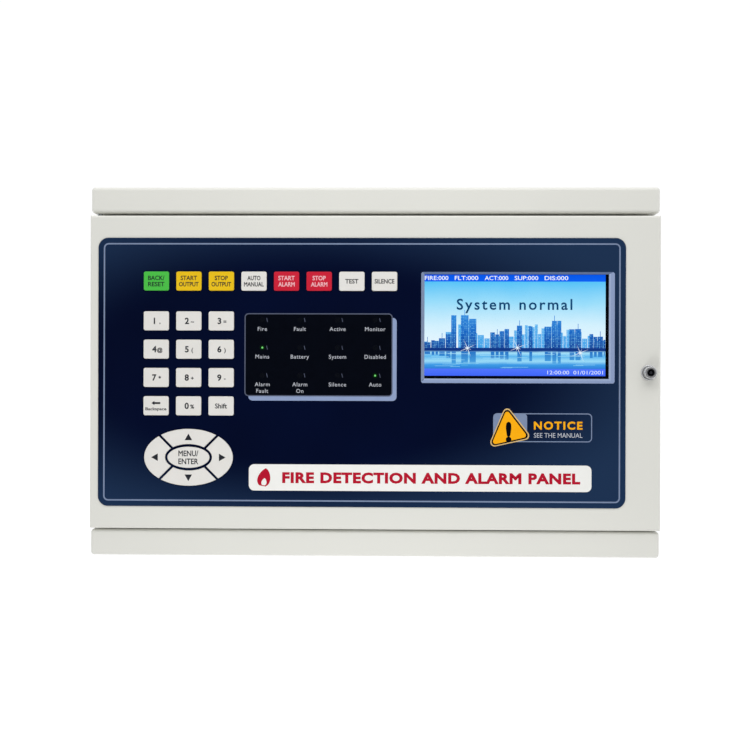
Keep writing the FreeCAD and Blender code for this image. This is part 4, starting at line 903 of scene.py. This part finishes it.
# ---------------------------------------------------------------- mouldings, rubber and boards
# Black and green nylon parts, soft rubber parts, the sealed batteries' ABS cases, and the
# fibreglass circuit boards under green solder mask.
def moulded(name, colour, paler, smooth, rough, grain_mm, lift, **settings):
    """Moulded plastic or rubber: a spark-eroded grain of the given size, and gloss that drifts over 25 mm."""
    made, tree, shader = new_material(name, colour, smooth, **settings)
    patches(tree, shader, 25.0, tones=(colour, paler), gloss=(smooth, rough), detail=3.0)
    grain(tree, shader, grain_mm, lift, deep_mm=0.1)
    return made


# Glass-filled black nylon: dark, with a dry satin face.
black_nylon = moulded("black_nylon", "#14161a", "#1e2126", 0.38, 0.52, 0.5, 0.25)
# Green nylon terminal blocks: bright leaf green with a waxy gloss.
green_nylon = moulded("green_nylon", "#2a8a3c", "#37994a", 0.30, 0.42, 0.6, 0.2)
# Translucent grey silicone sheet: pale, matt and slightly deep.
mat_silicone = moulded("grey_silicone", "#9a9b98", "#a8a9a6", 0.5, 0.6, 0.6, 0.2, Subsurface_Weight=0.05)
# Black neoprene grommets: very matt, with a fine bloom.
neoprene = moulded("black_neoprene", "#101112", "#1c1d1e", 0.62, 0.78, 0.8, 0.3)
# ABS battery cases: dark grey with a fine leather grain.
case_abs = moulded("dark_grey_abs", "#2c2f34", "#363a40", 0.42, 0.55, 0.9, 0.5)
paint_nodes(black_nylon, "key_guide", "buzzer", "board_parts", "mains_terminals")
paint_nodes(green_nylon, "field_terminals")
paint_nodes(mat_silicone, "keypad_mat")
paint_nodes(neoprene, "cable_grommets")
paint_nodes(case_abs, "batteries")

# Solder mask: glossy green over slightly raised copper tracks, with a grid of small tinned pads.
TRACK_PITCH, TRACK_WIDE, PAD_PITCH, PAD_SHARE = 5.0, 0.35, 7.5, 0.11
board_green, tree, shader = new_material("green_solder_mask", "#0d4a24", 0.28, IOR=1.5)
vector = flat_coords(tree)
tracks = add_node(tree, "ShaderNodeTexBrick", {"Vector": vector, "Scale": 1.0, "Mortar Size": TRACK_WIDE,
                                               "Mortar Smooth": 0.2, "Brick Width": 4 * TRACK_PITCH,
                                               "Row Height": TRACK_PITCH})
pads = add_node(tree, "ShaderNodeTexVoronoi", {"Vector": vector, "Scale": 1 / PAD_PITCH, "Randomness": 0.35})
pad = add_node(tree, "ShaderNodeMath", {0: pads.outputs["Distance"], 1: PAD_SHARE}, operation="LESS_THAN")
laminate = add_node(tree, "ShaderNodeMix", {SHARE: tracks.outputs["Fac"], FIRST: linear("#0b4220"),
                                            SECOND: linear("#1a6a38")}, data_type="RGBA")
soldered = add_node(tree, "ShaderNodeMix", {SHARE: pad.outputs[0], FIRST: laminate.outputs[MIXED],
                                            SECOND: linear("#b9bcbf")}, data_type="RGBA")
tree.links.new(soldered.outputs[MIXED], shader.inputs["Base Color"])
tree.links.new(pad.outputs[0], shader.inputs["Metallic"])
bump = add_node(tree, "ShaderNodeBump", {"Height": tracks.outputs["Fac"], "Strength": 0.4,
                                         "Distance": 0.04 * MM})
tree.links.new(bump.outputs[0], shader.inputs["Normal"])
paint_nodes(board_green, "main_board", "loop_card", "keypad_board")
